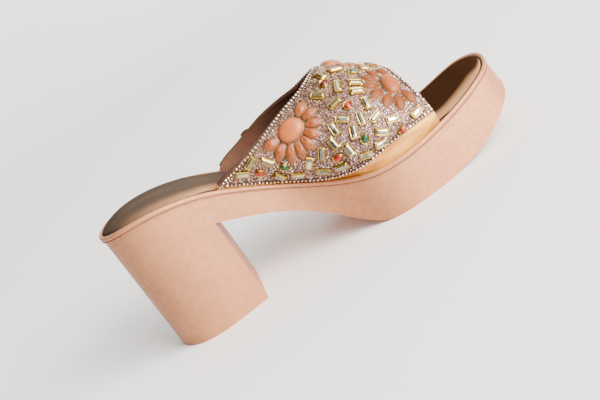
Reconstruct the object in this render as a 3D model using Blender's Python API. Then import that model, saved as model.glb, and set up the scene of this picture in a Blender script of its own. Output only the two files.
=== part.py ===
"""Block heel sandal: a backless platform mule with a jewelled, open-toed vamp.

Left shoe, standing empty on its heel and forefoot. +X runs from heel to toe, -Y is the
inner (medial) side, +Z is up. The tables are in millimetres, with stations measured
forward from the back of the heel seat; meshes are made in metres.
"""

from collections import namedtuple
from math import asin, cos, pi, radians, sin

import bmesh
import bpy
import numpy as np

MM = 0.001

# Fit between neighbours
GAP = 0.35

# Sole: plan outline of the rim, as distances to either side of the axis
LENGTH = 242.5
Outline = namedtuple("Outline", "station inner outer")
OUTLINE = (
    Outline(5.0, 16.5, 18.5),
    Outline(18.0, 28.0, 26.8),
    Outline(38.0, 30.7, 29.1),
    Outline(60.0, 26.8, 30.2),
    Outline(85.0, 22.6, 33.2),
    Outline(105.0, 19.8, 37.0),
    Outline(125.0, 25.2, 40.6),
    Outline(145.0, 37.0, 42.5),
    Outline(165.0, 40.2, 43.2),
    Outline(190.0, 36.6, 42.3),
    Outline(210.0, 31.7, 39.2),
    Outline(226.0, 26.2, 34.8),
    Outline(236.0, 18.8, 26.5),
)
HEEL_END_Y = 2.0
TOE_END_Y = 4.5
SIDE_STATIONS = 52

# Sole: height of the rim, and of the underside between the heel breast and the toe
Height = namedtuple("Height", "station z")
RIM = (
    Height(0.0, 80.0),
    Height(22.0, 81.6),
    Height(45.0, 78.3),
    Height(75.0, 65.8),
    Height(105.0, 47.0),
    Height(130.0, 33.5),
    Height(158.0, 28.0),
    Height(190.0, 29.0),
    Height(215.0, 32.7),
    Height(242.0, 39.5),
)
ARCH = (
    Height(59.5, 54.0),
    Height(76.0, 46.0),
    Height(104.0, 28.5),
    Height(120.0, 14.8),
    Height(130.0, 6.4),
    Height(139.0, 1.4),
    Height(148.0, -0.4),
)
TOE_SPRING = (
    Height(180.0, -0.4),
    Height(192.0, 1.2),
    Height(216.0, 6.3),
    Height(234.0, 15.2),
    Height(252.0, 26.5),
)
BREAST_BOTTOM = 60.0

# Sole: rim bead, band, tray for the footbed and slope of the side wall
RIM_WIDTH = 2.3
TRAY_DEPTH = 3.5
BAND_HEIGHT = 3.4
BAND_STEP = 0.6
Roll = namedtuple("Roll", "inset rise")
RIM_SECTION = (
    Roll(RIM_WIDTH, -TRAY_DEPTH),
    Roll(RIM_WIDTH, -0.8),
    Roll(RIM_WIDTH * 0.75, -0.15),
    Roll(RIM_WIDTH * 0.4, 0.0),
    Roll(0.2, -0.6),
    Roll(0.0, -1.5),
    Roll(0.0, 0.3 - BAND_HEIGHT),
)
HEEL_LIP = 1.2
WALL_FLARE = 0.115
TOE_FLARE = 0.13
HEEL_LEAN = 0.01

# Upper: wall, bead panel and tuck between rim and footbed
WALL = 2.4
PANEL_STEP = 0.6
TUCK = RIM_WIDTH + GAP
Form = namedtuple("Form", "station crown inner_bulge outer_bulge fullness")
FORM = (
    Form(62.0, 116.0, 3.0, 3.5, 2.6),
    Form(82.0, 114.0, 8.0, 8.0, 2.6),
    Form(102.0, 108.0, 12.5, 10.0, 2.6),
    Form(118.0, 102.0, 14.0, 9.5, 2.6),
    Form(130.0, 95.5, 13.5, 8.5, 2.6),
    Form(143.0, 88.8, 10.5, 7.0, 2.6),
    Form(157.0, 86.4, 7.5, 5.0, 2.6),
    Form(166.0, 83.0, 6.0, 4.5, 2.5),
    Form(179.0, 73.0, 4.5, 4.0, 2.4),
    Form(190.0, 65.0, 3.5, 3.5, 2.4),
    Form(200.0, 58.0, 3.0, 3.0, 2.3),
)
BULGE_FALL = 1.5
Edge = namedtuple("Edge", "across rear front")
EDGES = (
    Edge(0.0, 71.5, 194.5),
    Edge(0.065, 88.3, 194.2),
    Edge(0.20, 117.8, 192.5),
    Edge(0.33, 137.0, 191.0),
    Edge(0.45, 149.0, 190.3),
    Edge(0.54, 156.0, 189.7),
    Edge(0.63, 151.5, 188.8),
    Edge(0.73, 137.0, 187.3),
    Edge(0.80, 125.0, 186.0),
    Edge(0.865, 111.5, 185.0),
    Edge(0.94, 94.5, 184.3),
    Edge(1.0, 77.0, 184.0),
)
MARGIN_REAR = 0.004
MARGIN_FRONT = 0.057
ROWS = 17
HALF_COLUMNS = 15

PIPING_RADIUS = 1.1

# Footbed: rolled edge, as rings of inset from its own edge and height over the rim
FOOTBED_INSET = TUCK + WALL + GAP + 0.1
ROLL = (
    Roll(0.6, GAP - TRAY_DEPTH),
    Roll(0.0, -2.4),
    Roll(0.1, -1.2),
    Roll(0.9, -0.1),
    Roll(2.6, 0.6),
    Roll(6.0, 1.1),
)

# Flowers: place on the vamp, turn of the oval, and the fan of petals around it
Flower = namedtuple("Flower", "name station across turn first sweep petals")
FLOWERS = (
    Flower("flower_inner_rear", 123.4, 0.164, 40.0, 66.0, -213.0, 9),
    Flower("flower_inner_front", 183.0, 0.270, 90.0, 87.0, 217.0, 8),
    Flower("flower_crown", 166.0, 0.547, 88.0, 117.0, -217.0, 9),
    Flower("flower_outer_front", 179.0, 0.780, 90.0, -88.0, -217.0, 8),
    Flower("flower_outer_rear", 117.0, 0.905, -10.0, -34.0, 213.0, 9),
)
OVAL_LENGTH = 16.0
OVAL_WIDTH = 12.5
OVAL_HEIGHT = 3.3
PETAL_LENGTH = 10.5
PETAL_WIDTH = 5.4
PETAL_HEIGHT = 2.1
PETAL_TUCK = 1.2
STONE_SEAT = 0.5


# Curves

def spline(table, column, where):
    """Natural cubic through one column of a table, read at the given places."""
    knots = np.array([row[0] for row in table])
    values = np.array([getattr(row, column) for row in table])
    steps = np.diff(knots)
    slopes = np.diff(values) / steps
    count = len(knots)
    matrix = np.eye(count)
    right = np.zeros(count)
    for i in range(1, count - 1):
        matrix[i, i - 1:i + 2] = steps[i - 1], 2.0 * (steps[i - 1] + steps[i]), steps[i]
        right[i] = 6.0 * (slopes[i] - slopes[i - 1])
    bend = np.linalg.solve(matrix, right)
    x = np.clip(np.asarray(where, dtype=float), knots[0], knots[-1])
    k = np.clip(np.searchsorted(knots, x) - 1, 0, count - 2)
    a = knots[k + 1] - x
    b = x - knots[k]
    h = steps[k]
    return ((bend[k] * a ** 3 + bend[k + 1] * b ** 3) / (6.0 * h)
            + (values[k] / h - bend[k] * h / 6.0) * a
            + (values[k + 1] / h - bend[k + 1] * h / 6.0) * b)


def closed_curve(points, samples):
    """Smooth closed curve through the points, with centripetal spacing."""
    points = np.asarray(points, dtype=float)
    count = len(points)
    steps = np.linalg.norm(np.roll(points, -1, axis=0) - points, axis=1) ** 0.5
    slopes = (np.roll(points, -1, axis=0) - points) / steps[:, None]
    matrix = np.zeros((count, count))
    right = np.zeros((count, 2))
    for i in range(count):
        before = steps[i - 1]
        matrix[i, i - 1] += before
        matrix[i, i] += 2.0 * (before + steps[i])
        matrix[i, (i + 1) % count] += steps[i]
        right[i] = 6.0 * (slopes[i] - slopes[i - 1])
    bend = np.linalg.solve(matrix, right)
    result = []
    for i in range(count):
        j = (i + 1) % count
        h = steps[i]
        for b in np.linspace(0.0, h, samples, endpoint=False):
            a = h - b
            result.append((bend[i] * a ** 3 + bend[j] * b ** 3) / (6.0 * h)
                          + (points[i] / h - bend[i] * h / 6.0) * a
                          + (points[j] / h - bend[j] * h / 6.0) * b)
    return np.array(result)


def rim_outline():
    """Dense outline of the rim, inner side first, from heel end to toe end and back."""
    inner = [(row.station, -row.inner) for row in OUTLINE]
    outer = [(row.station, row.outer) for row in reversed(OUTLINE)]
    return closed_curve([(0.0, HEEL_END_Y), *inner, (LENGTH, TOE_END_Y), *outer], 40)


def inward_normals(loop):
    """Unit normals of a closed loop that runs anticlockwise, pointing inward."""
    along = np.roll(loop, -1, axis=0) - np.roll(loop, 1, axis=0)
    normals = np.column_stack((-along[:, 1], along[:, 0]))
    return normals / np.linalg.norm(normals, axis=1)[:, None]


DENSE = rim_outline()
DENSE_NORMALS = inward_normals(DENSE)


def side_at(station, inset, outer_side):
    """Distance across, at a station, of the outline moved inward by an inset."""
    moved = DENSE + DENSE_NORMALS * inset
    heel, toe = moved[:, 0].argmin(), moved[:, 0].argmax()
    chain = moved[toe:] if outer_side else moved[heel:toe + 1]
    order = chain[:, 0].argsort()
    return np.interp(station, chain[order, 0], chain[order, 1])


def rim_loop():
    """Outline points at shared stations on both sides, with their inward normals."""
    share = np.arange(SIDE_STATIONS + 1) / SIDE_STATIONS
    eased = (1.0 - np.cos(pi * share)) / 2.0
    stations = LENGTH * (0.55 * eased + 0.45 * (share - np.sin(2.0 * pi * share) / (2.0 * pi)))
    heel, toe = DENSE[:, 0].argmin(), DENSE[:, 0].argmax()
    picks = []
    for side in (np.arange(heel, toe + 1), np.arange(toe, len(DENSE) + heel)):
        side = side % len(DENSE)
        order = side[DENSE[side, 0].argsort()]
        picks.append([order[np.abs(DENSE[order, 0] - x).argmin()] for x in stations])
    inner, outer = picks
    inner[0] = outer[0] = heel
    inner[-1] = outer[-1] = toe
    chosen = inner + outer[-2:0:-1]
    return DENSE[chosen], DENSE_NORMALS[chosen]


LOOP, LOOP_NORMALS = rim_loop()


def rim_z(station):
    """Height of the rim at a station."""
    return spline(RIM, "z", station)


def smooth_step(value):
    """Zero to one with level ends."""
    value = np.clip(value, 0.0, 1.0)
    return value * value * (3.0 - 2.0 * value)


# Mesh helpers

def material(name, colour, roughness, metallic):
    """Principled material with one colour."""
    made = bpy.data.materials.new(name)
    made.use_nodes = True
    shader = made.node_tree.nodes["Principled BSDF"]
    shader.inputs["Base Color"].default_value = (*colour, 1.0)
    shader.inputs["Roughness"].default_value = roughness
    shader.inputs["Metallic"].default_value = metallic
    return made


def make_object(name, vertices, faces, collection, finish=None, smooth_angle=35.0):
    """Object from vertices in millimetres, with its faces turned outward."""
    mesh = bpy.data.meshes.new(name)
    mesh.from_pydata([tuple(float(c) * MM for c in v) for v in vertices], [], faces)
    work = bmesh.new()
    work.from_mesh(mesh)
    bmesh.ops.recalc_face_normals(work, faces=work.faces)
    work.to_mesh(mesh)
    work.free()
    mesh.shade_smooth()
    mesh.set_sharp_from_angle(angle=radians(smooth_angle))
    if finish:
        mesh.materials.append(finish)
    made = bpy.data.objects.new(name, mesh)
    collection.objects.link(made)
    return made


def ring(inset, rise):
    """One ring of the outline, moved inward by an inset, at a rise over the rim."""
    moved = LOOP + LOOP_NORMALS * inset
    return np.column_stack((moved, rim_z(moved[:, 0]) + rise))


def wall_ring(share):
    """One ring of the side wall, at a share of the way from the band to the ground."""
    height = (rim_z(LOOP[:, 0]) - BAND_HEIGHT) * (1.0 - share)
    moved = LOOP + LOOP_NORMALS * wall_inset(height)[:, None]
    return np.column_stack((moved, height))


def ringed_solid(rings):
    """Vertices and faces of a solid whose rings are closed by strips across the foot."""
    size = len(LOOP)
    half = size // 2
    vertices = np.vstack(rings)
    faces = []
    for level in range(len(rings) - 1):
        low = level * size
        for i in range(size):
            j = (i + 1) % size
            faces.append((low + i, low + j, low + size + j, low + size + i))
    for low in (0, (len(rings) - 1) * size):
        faces.append((low, low + 1, low + size - 1))
        for i in range(1, half - 1):
            faces.append((low + i, low + i + 1, low + size - i - 1, low + size - i))
        faces.append((low + half - 1, low + half, low + half + 1))
    return vertices, faces


def prism(name, profile, half_width, collection):
    """Cutter with a side profile of (station, height), run across the foot."""
    count = len(profile)
    vertices = [(x, y, z) for y in (-half_width, half_width) for x, z in profile]
    faces = [tuple(range(count)), tuple(range(2 * count - 1, count - 1, -1))]
    faces += [(i, (i + 1) % count, (i + 1) % count + count, i + count) for i in range(count)]
    made = make_object(name, vertices, faces, collection)
    made.hide_render = True
    made.display_type = "WIRE"
    return made


def cut(target, cutter):
    """Exact Boolean difference."""
    modifier = target.modifiers.new(cutter.name, "BOOLEAN")
    modifier.operation = "DIFFERENCE"
    modifier.solver = "EXACT"
    modifier.object = cutter


# Sole

def wall_inset(height):
    """Inset of the side wall below the band: lip and lean at the heel, flare forward."""
    x = LOOP[:, 0]
    drop = rim_z(x) - BAND_HEIGHT - height
    heel = 1.0 - smooth_step((x - 40.0) / 40.0)
    forefoot = smooth_step((x - 105.0) / 50.0)
    ends = np.abs(LOOP_NORMALS[:, 0]) ** 1.5
    step = BAND_STEP + (HEEL_LIP - BAND_STEP) * heel
    slope = HEEL_LEAN * heel * ends - forefoot * (WALL_FLARE + (TOE_FLARE - WALL_FLARE) * ends)
    return step + slope * drop


def make_sole(collection, cutters, finish):
    """Platform, waist and heel in one: rings down the wall, then arch and toe spring."""
    rings = [ring(row.inset, row.rise) for row in RIM_SECTION]
    rings += [wall_ring(share) for share in (0.0, 0.08, 0.5, 1.0)]
    sole = make_object("sole", *ringed_solid(rings), collection, finish)
    arch_x = np.linspace(ARCH[0].station, ARCH[-1].station, 22)
    arch = list(zip(arch_x, spline(ARCH, "z", arch_x)))
    below = -12.0
    profile = [(BREAST_BOTTOM, below), (BREAST_BOTTOM, 0.0), *arch, (ARCH[-1].station, below)]
    cut(sole, prism("arch_cutter", profile, LENGTH / 2, cutters))
    toe_x = np.linspace(TOE_SPRING[0].station, TOE_SPRING[-1].station, 14)
    toe = list(zip(toe_x, spline(TOE_SPRING, "z", toe_x)))
    profile = [(TOE_SPRING[0].station, below), *toe, (TOE_SPRING[-1].station, below)]
    cut(sole, prism("toe_spring_cutter", profile, LENGTH / 2, cutters))
    return sole


def make_footbed(collection, finish):
    """Padded sock with a rolled edge, lying in the sole's tray."""
    rings = [ring(FOOTBED_INSET + row.inset, row.rise) for row in ROLL]
    return make_object("footbed", *ringed_solid(rings), collection, finish, 60.0)


# Upper

def vamp_point(station, across):
    """Outer face of the vamp: an arch over the foot, bulging beyond the rim."""
    inner = side_at(station, TUCK, False)
    outer = side_at(station, TUCK, True)
    base = float(rim_z(station))
    rise = float(spline(FORM, "crown", station)) - base
    power = 2.0 / float(spline(FORM, "fullness", station))
    angle = pi * across
    height = max(sin(angle), 0.0) ** power
    spread = abs(cos(angle)) ** power * (1.0 if across < 0.5 else -1.0)
    column = "inner_bulge" if across < 0.5 else "outer_bulge"
    peak = 1.0 / (1.0 + BULGE_FALL)
    swell = height * (1.0 - height) ** BULGE_FALL / (peak * (1.0 - peak) ** BULGE_FALL)
    bulge = float(spline(FORM, column, station)) * swell
    middle = (inner + outer) / 2.0
    half = (outer - inner) / 2.0
    return np.array((station, middle - spread * (half + bulge), base + rise * height))


def vamp_frame(station, across):
    """Point, forward tangent, tangent across and outward normal of the vamp."""
    point = vamp_point(station, across)
    forward = vamp_point(station + 0.5, across) - vamp_point(station - 0.5, across)
    over = vamp_point(station, across + 0.004) - vamp_point(station, across - 0.004)
    forward /= np.linalg.norm(forward)
    over -= forward * over.dot(forward)
    over /= np.linalg.norm(over)
    return point, forward, over, np.cross(forward, over)


def rear_edge(across):
    """Station of the rear topline."""
    return float(spline(EDGES, "rear", across))


def front_edge(across):
    """Station of the front edge."""
    return float(spline(EDGES, "front", across))


def margin(share):
    """Share of the arch, next to the rim, that the bead panel leaves plain."""
    return MARGIN_REAR + (MARGIN_FRONT - MARGIN_REAR) * float(smooth_step((share - 0.4) / 0.6))


def column_places(share):
    """Places across the arch on its inner half, with True where the panel covers them."""
    edge = margin(share)
    places = [(0.5 * edge, False), (0.96 * edge, False)]
    for k in range(HALF_COLUMNS):
        places.append((1.04 * edge + (0.5 - 1.04 * edge) * (k / HALF_COLUMNS), True))
    return places


def vamp_row(share):
    """Outer and inner points of one row across the arch, from tuck to tuck."""
    half = column_places(share)
    places = half + [(0.5, True)] + [(1.0 - u, covered) for u, covered in reversed(half)]
    feet = []
    for side in (0.0, 1.0):
        station = rear_edge(side) + (front_edge(side) - rear_edge(side)) * share
        base = float(rim_z(station))
        pair = []
        for inset in (TUCK, TUCK + WALL):
            across = side_at(station, inset, bool(side))
            pair.append([(station, across, base + rise) for rise in (GAP - TRAY_DEPTH, 0.3)])
        feet.append(pair)
    outer, inner = list(feet[0][0]), list(feet[0][1])
    for across, covered in places:
        start = rear_edge(across)
        station = start + (front_edge(across) - start) * share
        point, _, _, normal = vamp_frame(station, across)
        outer.append(point + normal * (PANEL_STEP if covered else 0.0))
        inner.append(point - normal * WALL)
    return outer + feet[1][0][::-1], inner + feet[1][1][::-1]


def make_upper(collection, finish):
    """One hollow band: an outer and an inner skin, closed around all four edges."""
    rows = [vamp_row(row / (ROWS - 1)) for row in range(ROWS)]
    width = len(rows[0][0])
    outer = [point for row in rows for point in row[0]]
    inner = [point for row in rows for point in row[1]]
    shift = len(outer)
    faces = []
    for row in range(ROWS - 1):
        for i in range(width - 1):
            low = row * width + i
            quad = (low, low + width, low + width + 1, low + 1)
            faces.append(quad)
            faces.append(tuple(k + shift for k in reversed(quad)))
    border = list(range(width)) + [row * width + width - 1 for row in range(1, ROWS)]
    border += list(range(shift - 2, shift - width - 1, -1))
    border += [row * width for row in range(ROWS - 2, 0, -1)]
    for here, there in zip(border, border[1:] + border[:1]):
        faces.append((here, there, there + shift, here + shift))
    return make_object("upper", outer + inner, faces, collection, finish, 50.0)


def make_piping(collection, finish):
    """Roll along the rear topline, behind the wall's edge."""
    half = [across for across, covered in column_places(0.0) if covered]
    places = half + [0.5] + [1.0 - across for across in reversed(half)]
    edge, normals = [], []
    for place in places:
        point, _, _, normal = vamp_frame(rear_edge(place), place)
        edge.append(point + normal * (PANEL_STEP - WALL) / 2)
        normals.append(normal)
    points = []
    for i, (point, normal) in enumerate(zip(edge, normals)):
        before = edge[max(i - 1, 0)]
        after = edge[min(i + 1, len(edge) - 1)]
        away = np.cross(normal, after - before)
        points.append(point + away / np.linalg.norm(away) * (PIPING_RADIUS + GAP))
    curve = bpy.data.curves.new("piping", "CURVE")
    curve.dimensions = "3D"
    curve.bevel_depth = PIPING_RADIUS * MM
    curve.bevel_resolution = 1
    curve.use_fill_caps = True
    line = curve.splines.new("POLY")
    line.points.add(len(points) - 1)
    for slot, point in zip(line.points, points):
        slot.co = (*(point * MM), 1.0)
    piping = bpy.data.objects.new("piping", curve)
    piping.data.materials.append(finish)
    collection.objects.link(piping)
    return piping


# Flowers

def dome(name, length, width, height, tip, sides, backed, collection):
    """Faceted cabochon on a flat base; a high tip value draws both ends to points."""
    rings = [(1.0, 0.0), (1.0, 0.3), (0.72, 0.8)]
    if backed:
        rings.insert(0, (0.55, 0.0))
    vertices = []
    for scale, level in rings:
        for k in range(sides):
            angle = 2.0 * pi * k / sides
            across = abs(sin(angle)) ** tip * (1.0 if sin(angle) >= 0.0 else -1.0)
            vertices.append((cos(angle) * length / 2 * scale, across * width / 2 * scale,
                             level * height))
    vertices += [(0.0, 0.0, height), (0.0, 0.0, 0.0)]
    top, bottom = len(vertices) - 2, len(vertices) - 1
    last = (len(rings) - 1) * sides
    faces = [(bottom, (k + 1) % sides, k) for k in range(sides)]
    for low in range(0, last, sides):
        faces += [(low + k, low + (k + 1) % sides, low + (k + 1) % sides + sides, low + k + sides)
                  for k in range(sides)]
    faces += [(last + k, last + (k + 1) % sides, top) for k in range(sides)]
    return make_object(name, vertices, faces, collection)


def surface_place(flower, ahead, aside):
    """Station and place across, reached from a flower's centre by flat distances."""
    origin, forward, over, _ = vamp_frame(flower.station, flower.across)
    station, across = flower.station, flower.across
    for _ in range(6):
        offset = vamp_point(station, across) - origin
        miss = np.array((ahead - offset.dot(forward), aside - offset.dot(over)))
        along = (vamp_point(station + 0.5, across) - vamp_point(station - 0.5, across))
        round_ = (vamp_point(station, across + 0.002) - vamp_point(station, across - 0.002)) / 0.004
        matrix = np.array(((along.dot(forward), round_.dot(forward)),
                           (along.dot(over), round_.dot(over))))
        step = np.linalg.solve(matrix, miss)
        station += step[0]
        across += step[1]
    return station, across


def make_flower(flower, collection, cutters, finish):
    """Oval and petals joined flat, then laid on the vamp."""
    body = dome(flower.name, OVAL_LENGTH, OVAL_WIDTH, OVAL_HEIGHT, 1.0, 14, True, collection)
    body.rotation_euler.z = radians(flower.turn)
    parts = []
    for k in range(flower.petals):
        angle = radians(flower.first + flower.sweep * k / (flower.petals - 1))
        turned = angle - radians(flower.turn)
        reach = OVAL_LENGTH * OVAL_WIDTH / 2 / (
            (OVAL_WIDTH * cos(turned)) ** 2 + (OVAL_LENGTH * sin(turned)) ** 2) ** 0.5
        distance = (reach + PETAL_LENGTH / 2 - PETAL_TUCK) * MM
        petal = dome("petal", PETAL_LENGTH, PETAL_WIDTH, PETAL_HEIGHT, 1.35, 8, False, cutters)
        petal.location = (distance * cos(angle), distance * sin(angle), 0.0)
        petal.rotation_euler.z = angle
        parts.append(petal)
        join = body.modifiers.new("petal", "BOOLEAN")
        join.operation = "UNION"
        join.solver = "EXACT"
        join.object = petal
    bpy.context.view_layer.update()
    joined = bpy.data.meshes.new_from_object(
        body.evaluated_get(bpy.context.evaluated_depsgraph_get()))
    joined.transform(body.matrix_world)
    for vertex in joined.vertices:
        ahead, aside, height = (c / MM for c in vertex.co)
        point, _, _, normal = vamp_frame(*surface_place(flower, ahead, aside))
        vertex.co = tuple((point + normal * (PANEL_STEP + STONE_SEAT + height)) * MM)
    joined.name = flower.name
    joined.materials.clear()
    joined.materials.append(finish)
    body.modifiers.clear()
    body.data = joined
    body.rotation_euler.z = 0.0
    for petal in parts:
        bpy.data.objects.remove(petal)
    return body


def centre_on_ground(parts):
    """Move every part by the same amount, to put the box's bottom centre on the origin."""
    bpy.context.view_layer.update()
    graph = bpy.context.evaluated_depsgraph_get()
    corners = []
    for part in parts:
        shown = part.evaluated_get(graph)
        corners += [part.matrix_world @ vertex.co for vertex in shown.to_mesh().vertices]
        shown.to_mesh_clear()
    corners = np.array(corners)
    low, high = corners.min(axis=0), corners.max(axis=0)
    root = bpy.data.objects.new("shoe", None)
    parts[0].users_collection[0].objects.link(root)
    root.location = (-(low[0] + high[0]) / 2, -(low[1] + high[1]) / 2, -low[2])
    return root


def main():
    for item in list(bpy.data.objects):
        bpy.data.objects.remove(item)
    shoe = bpy.data.collections.new("block_heel_sandal")
    cutters = bpy.data.collections.new("cutters")
    bpy.context.scene.collection.children.link(shoe)
    bpy.context.scene.collection.children.link(cutters)
    rose = material("rose_gold_cover", (0.72, 0.45, 0.33), 0.42, 0.55)
    champagne = material("champagne_sock", (0.76, 0.56, 0.41), 0.5, 0.4)
    beads = material("bead_ground", (0.62, 0.48, 0.42), 0.45, 0.3)
    gold = material("gold_piping", (0.66, 0.46, 0.27), 0.4, 0.6)
    coral = material("coral_resin", (0.80, 0.45, 0.34), 0.3, 0.0)
    parts = [
        make_sole(shoe, cutters, rose),
        make_footbed(shoe, champagne),
        make_upper(shoe, beads),
        make_piping(shoe, gold),
    ]
    for flower in FLOWERS:
        parts.append(make_flower(flower, shoe, cutters, coral))
    root = centre_on_ground(parts)
    for part in parts:
        part.parent = root
    for cutter in cutters.objects:
        cutter.parent = root


main()
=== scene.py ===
"""Looks of the block heel sandal: smooth covers, lining, crystals, beads, light and camera.

It is laid out as an add-on and run as a script. Sizes inside the tables are in
millimetres, with stations measured forward from the back of the heel seat.
"""

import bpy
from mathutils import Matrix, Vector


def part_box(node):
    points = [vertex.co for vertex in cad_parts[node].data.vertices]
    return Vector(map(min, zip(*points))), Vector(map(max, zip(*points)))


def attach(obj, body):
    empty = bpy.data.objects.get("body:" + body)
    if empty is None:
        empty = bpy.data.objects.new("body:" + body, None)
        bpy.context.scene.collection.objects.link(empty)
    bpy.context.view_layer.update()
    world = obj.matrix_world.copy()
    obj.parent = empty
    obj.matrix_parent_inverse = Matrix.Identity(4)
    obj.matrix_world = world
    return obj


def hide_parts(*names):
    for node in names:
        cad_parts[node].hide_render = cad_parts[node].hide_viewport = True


bl_info = {
    "name": "Block heel sandal looks",
    "version": (1, 0, 0),
    "blender": (4, 5, 0),
    "location": "View3D > Sidebar > Sandal",
    "description": "Dresses the packed block heel sandal with its covers, stones and stage",
    "category": "Object",
}

import random
from collections import namedtuple
from functools import cache
from math import cos, pi, radians, sin

import bmesh
import bpy
import numpy as np
from mathutils import Matrix, Vector
from mathutils.kdtree import KDTree

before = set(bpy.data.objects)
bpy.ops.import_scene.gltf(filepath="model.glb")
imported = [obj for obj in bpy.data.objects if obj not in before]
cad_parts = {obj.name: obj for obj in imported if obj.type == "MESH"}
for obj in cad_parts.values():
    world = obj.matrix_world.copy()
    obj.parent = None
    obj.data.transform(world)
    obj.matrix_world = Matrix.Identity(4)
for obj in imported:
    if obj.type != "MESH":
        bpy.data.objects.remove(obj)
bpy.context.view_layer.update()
MM = 0.001

# Sizes shared with the solids, in millimetres

GAP = 0.35
LENGTH = 242.5
Outline = namedtuple("Outline", "station inner outer")
OUTLINE = (
    Outline(5.0, 16.5, 18.5), Outline(18.0, 28.0, 26.8), Outline(38.0, 30.7, 29.1),
    Outline(60.0, 26.8, 30.2), Outline(85.0, 22.6, 33.2), Outline(105.0, 19.8, 37.0),
    Outline(125.0, 25.2, 40.6), Outline(145.0, 37.0, 42.5), Outline(165.0, 40.2, 43.2),
    Outline(190.0, 36.6, 42.3), Outline(210.0, 31.7, 39.2), Outline(226.0, 26.2, 34.8),
    Outline(236.0, 18.8, 26.5),
)
HEEL_END_Y = 2.0
TOE_END_Y = 4.5
Height = namedtuple("Height", "station z")
RIM = (
    Height(0.0, 80.0), Height(22.0, 81.6), Height(45.0, 78.3), Height(75.0, 65.8),
    Height(105.0, 47.0), Height(130.0, 33.5), Height(158.0, 28.0), Height(190.0, 29.0),
    Height(215.0, 32.7), Height(242.0, 39.5),
)
ARCH = (
    Height(59.5, 54.0), Height(76.0, 46.0), Height(104.0, 28.5), Height(120.0, 14.8),
    Height(130.0, 6.4), Height(139.0, 1.4), Height(148.0, -0.4),
)
TOE_SPRING = (
    Height(180.0, -0.4), Height(192.0, 1.2), Height(216.0, 6.3), Height(234.0, 15.2),
    Height(252.0, 26.5),
)
BREAST = 60.0
RIM_WIDTH = 2.3
RIM_CREST = 0.9
TRAY_DEPTH = 3.5
BAND_HEIGHT = 3.4
BAND_STEP = 0.6
HEEL_LIP = 1.2
WALL_FLARE = 0.115
TOE_FLARE = 0.13
HEEL_LEAN = 0.01
HEEL_EASE = (40.0, 40.0)
FOREFOOT_EASE = (105.0, 50.0)
WALL = 2.4
PANEL_STEP = 0.6
TUCK = RIM_WIDTH + GAP
FOOTBED_INSET = TUCK + WALL + GAP + 0.1
Form = namedtuple("Form", "station crown inner_bulge outer_bulge fullness")
FORM = (
    Form(62.0, 116.0, 3.0, 3.5, 2.6), Form(82.0, 114.0, 8.0, 8.0, 2.6),
    Form(102.0, 108.0, 12.5, 10.0, 2.6), Form(118.0, 102.0, 14.0, 9.5, 2.6),
    Form(130.0, 95.5, 13.5, 8.5, 2.6), Form(143.0, 88.8, 10.5, 7.0, 2.6),
    Form(157.0, 86.4, 7.5, 5.0, 2.6), Form(166.0, 83.0, 6.0, 4.5, 2.5),
    Form(179.0, 73.0, 4.5, 4.0, 2.4), Form(190.0, 65.0, 3.5, 3.5, 2.4),
    Form(200.0, 58.0, 3.0, 3.0, 2.3),
)
BULGE_FALL = 1.5
Edge = namedtuple("Edge", "across rear front")
EDGES = (
    Edge(0.0, 71.5, 194.5), Edge(0.065, 88.3, 194.2), Edge(0.20, 117.8, 192.5),
    Edge(0.33, 137.0, 191.0), Edge(0.45, 149.0, 190.3), Edge(0.54, 156.0, 189.7),
    Edge(0.63, 151.5, 188.8), Edge(0.73, 137.0, 187.3), Edge(0.80, 125.0, 186.0),
    Edge(0.865, 111.5, 185.0), Edge(0.94, 94.5, 184.3), Edge(1.0, 77.0, 184.0),
)
MARGIN_REAR = 0.004
MARGIN_FRONT = 0.057
MARGIN_EASE = (0.4, 0.6)

# Where chains and beads begin, as multiples of the margin, the vamp's girth in millimetres
# for the folds, and the steps and bounds of the search that bends shapes onto it

ON_PANEL = 1.04
BEADS_ON_PANEL = 1.05
GIRTH = 150.0
STEP_AHEAD = 0.5
STEP_ACROSS = 0.004
BENDING_ROUNDS = 6
MOST_AHEAD = 8.0
MOST_ACROSS = 0.05
ARCH_FOOT = 0.003

Flower = namedtuple("Flower", "name station across turn first sweep petals")
FLOWERS = (
    Flower("flower_inner_rear", 123.4, 0.164, 40.0, 66.0, -213.0, 9),
    Flower("flower_inner_front", 183.0, 0.270, 90.0, 87.0, 217.0, 8),
    Flower("flower_crown", 166.0, 0.547, 88.0, 117.0, -217.0, 9),
    Flower("flower_outer_front", 179.0, 0.780, 90.0, -88.0, -217.0, 8),
    Flower("flower_outer_rear", 117.0, 0.905, -10.0, -34.0, 213.0, 9),
)
OVAL_LENGTH, OVAL_WIDTH, OVAL_HEIGHT = 16.0, 12.5, 3.3
PETAL_LENGTH, PETAL_WIDTH, PETAL_HEIGHT = 10.6, 5.9, 2.1

# Loose stones, by place on the vamp and turn from the forward direction

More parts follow.
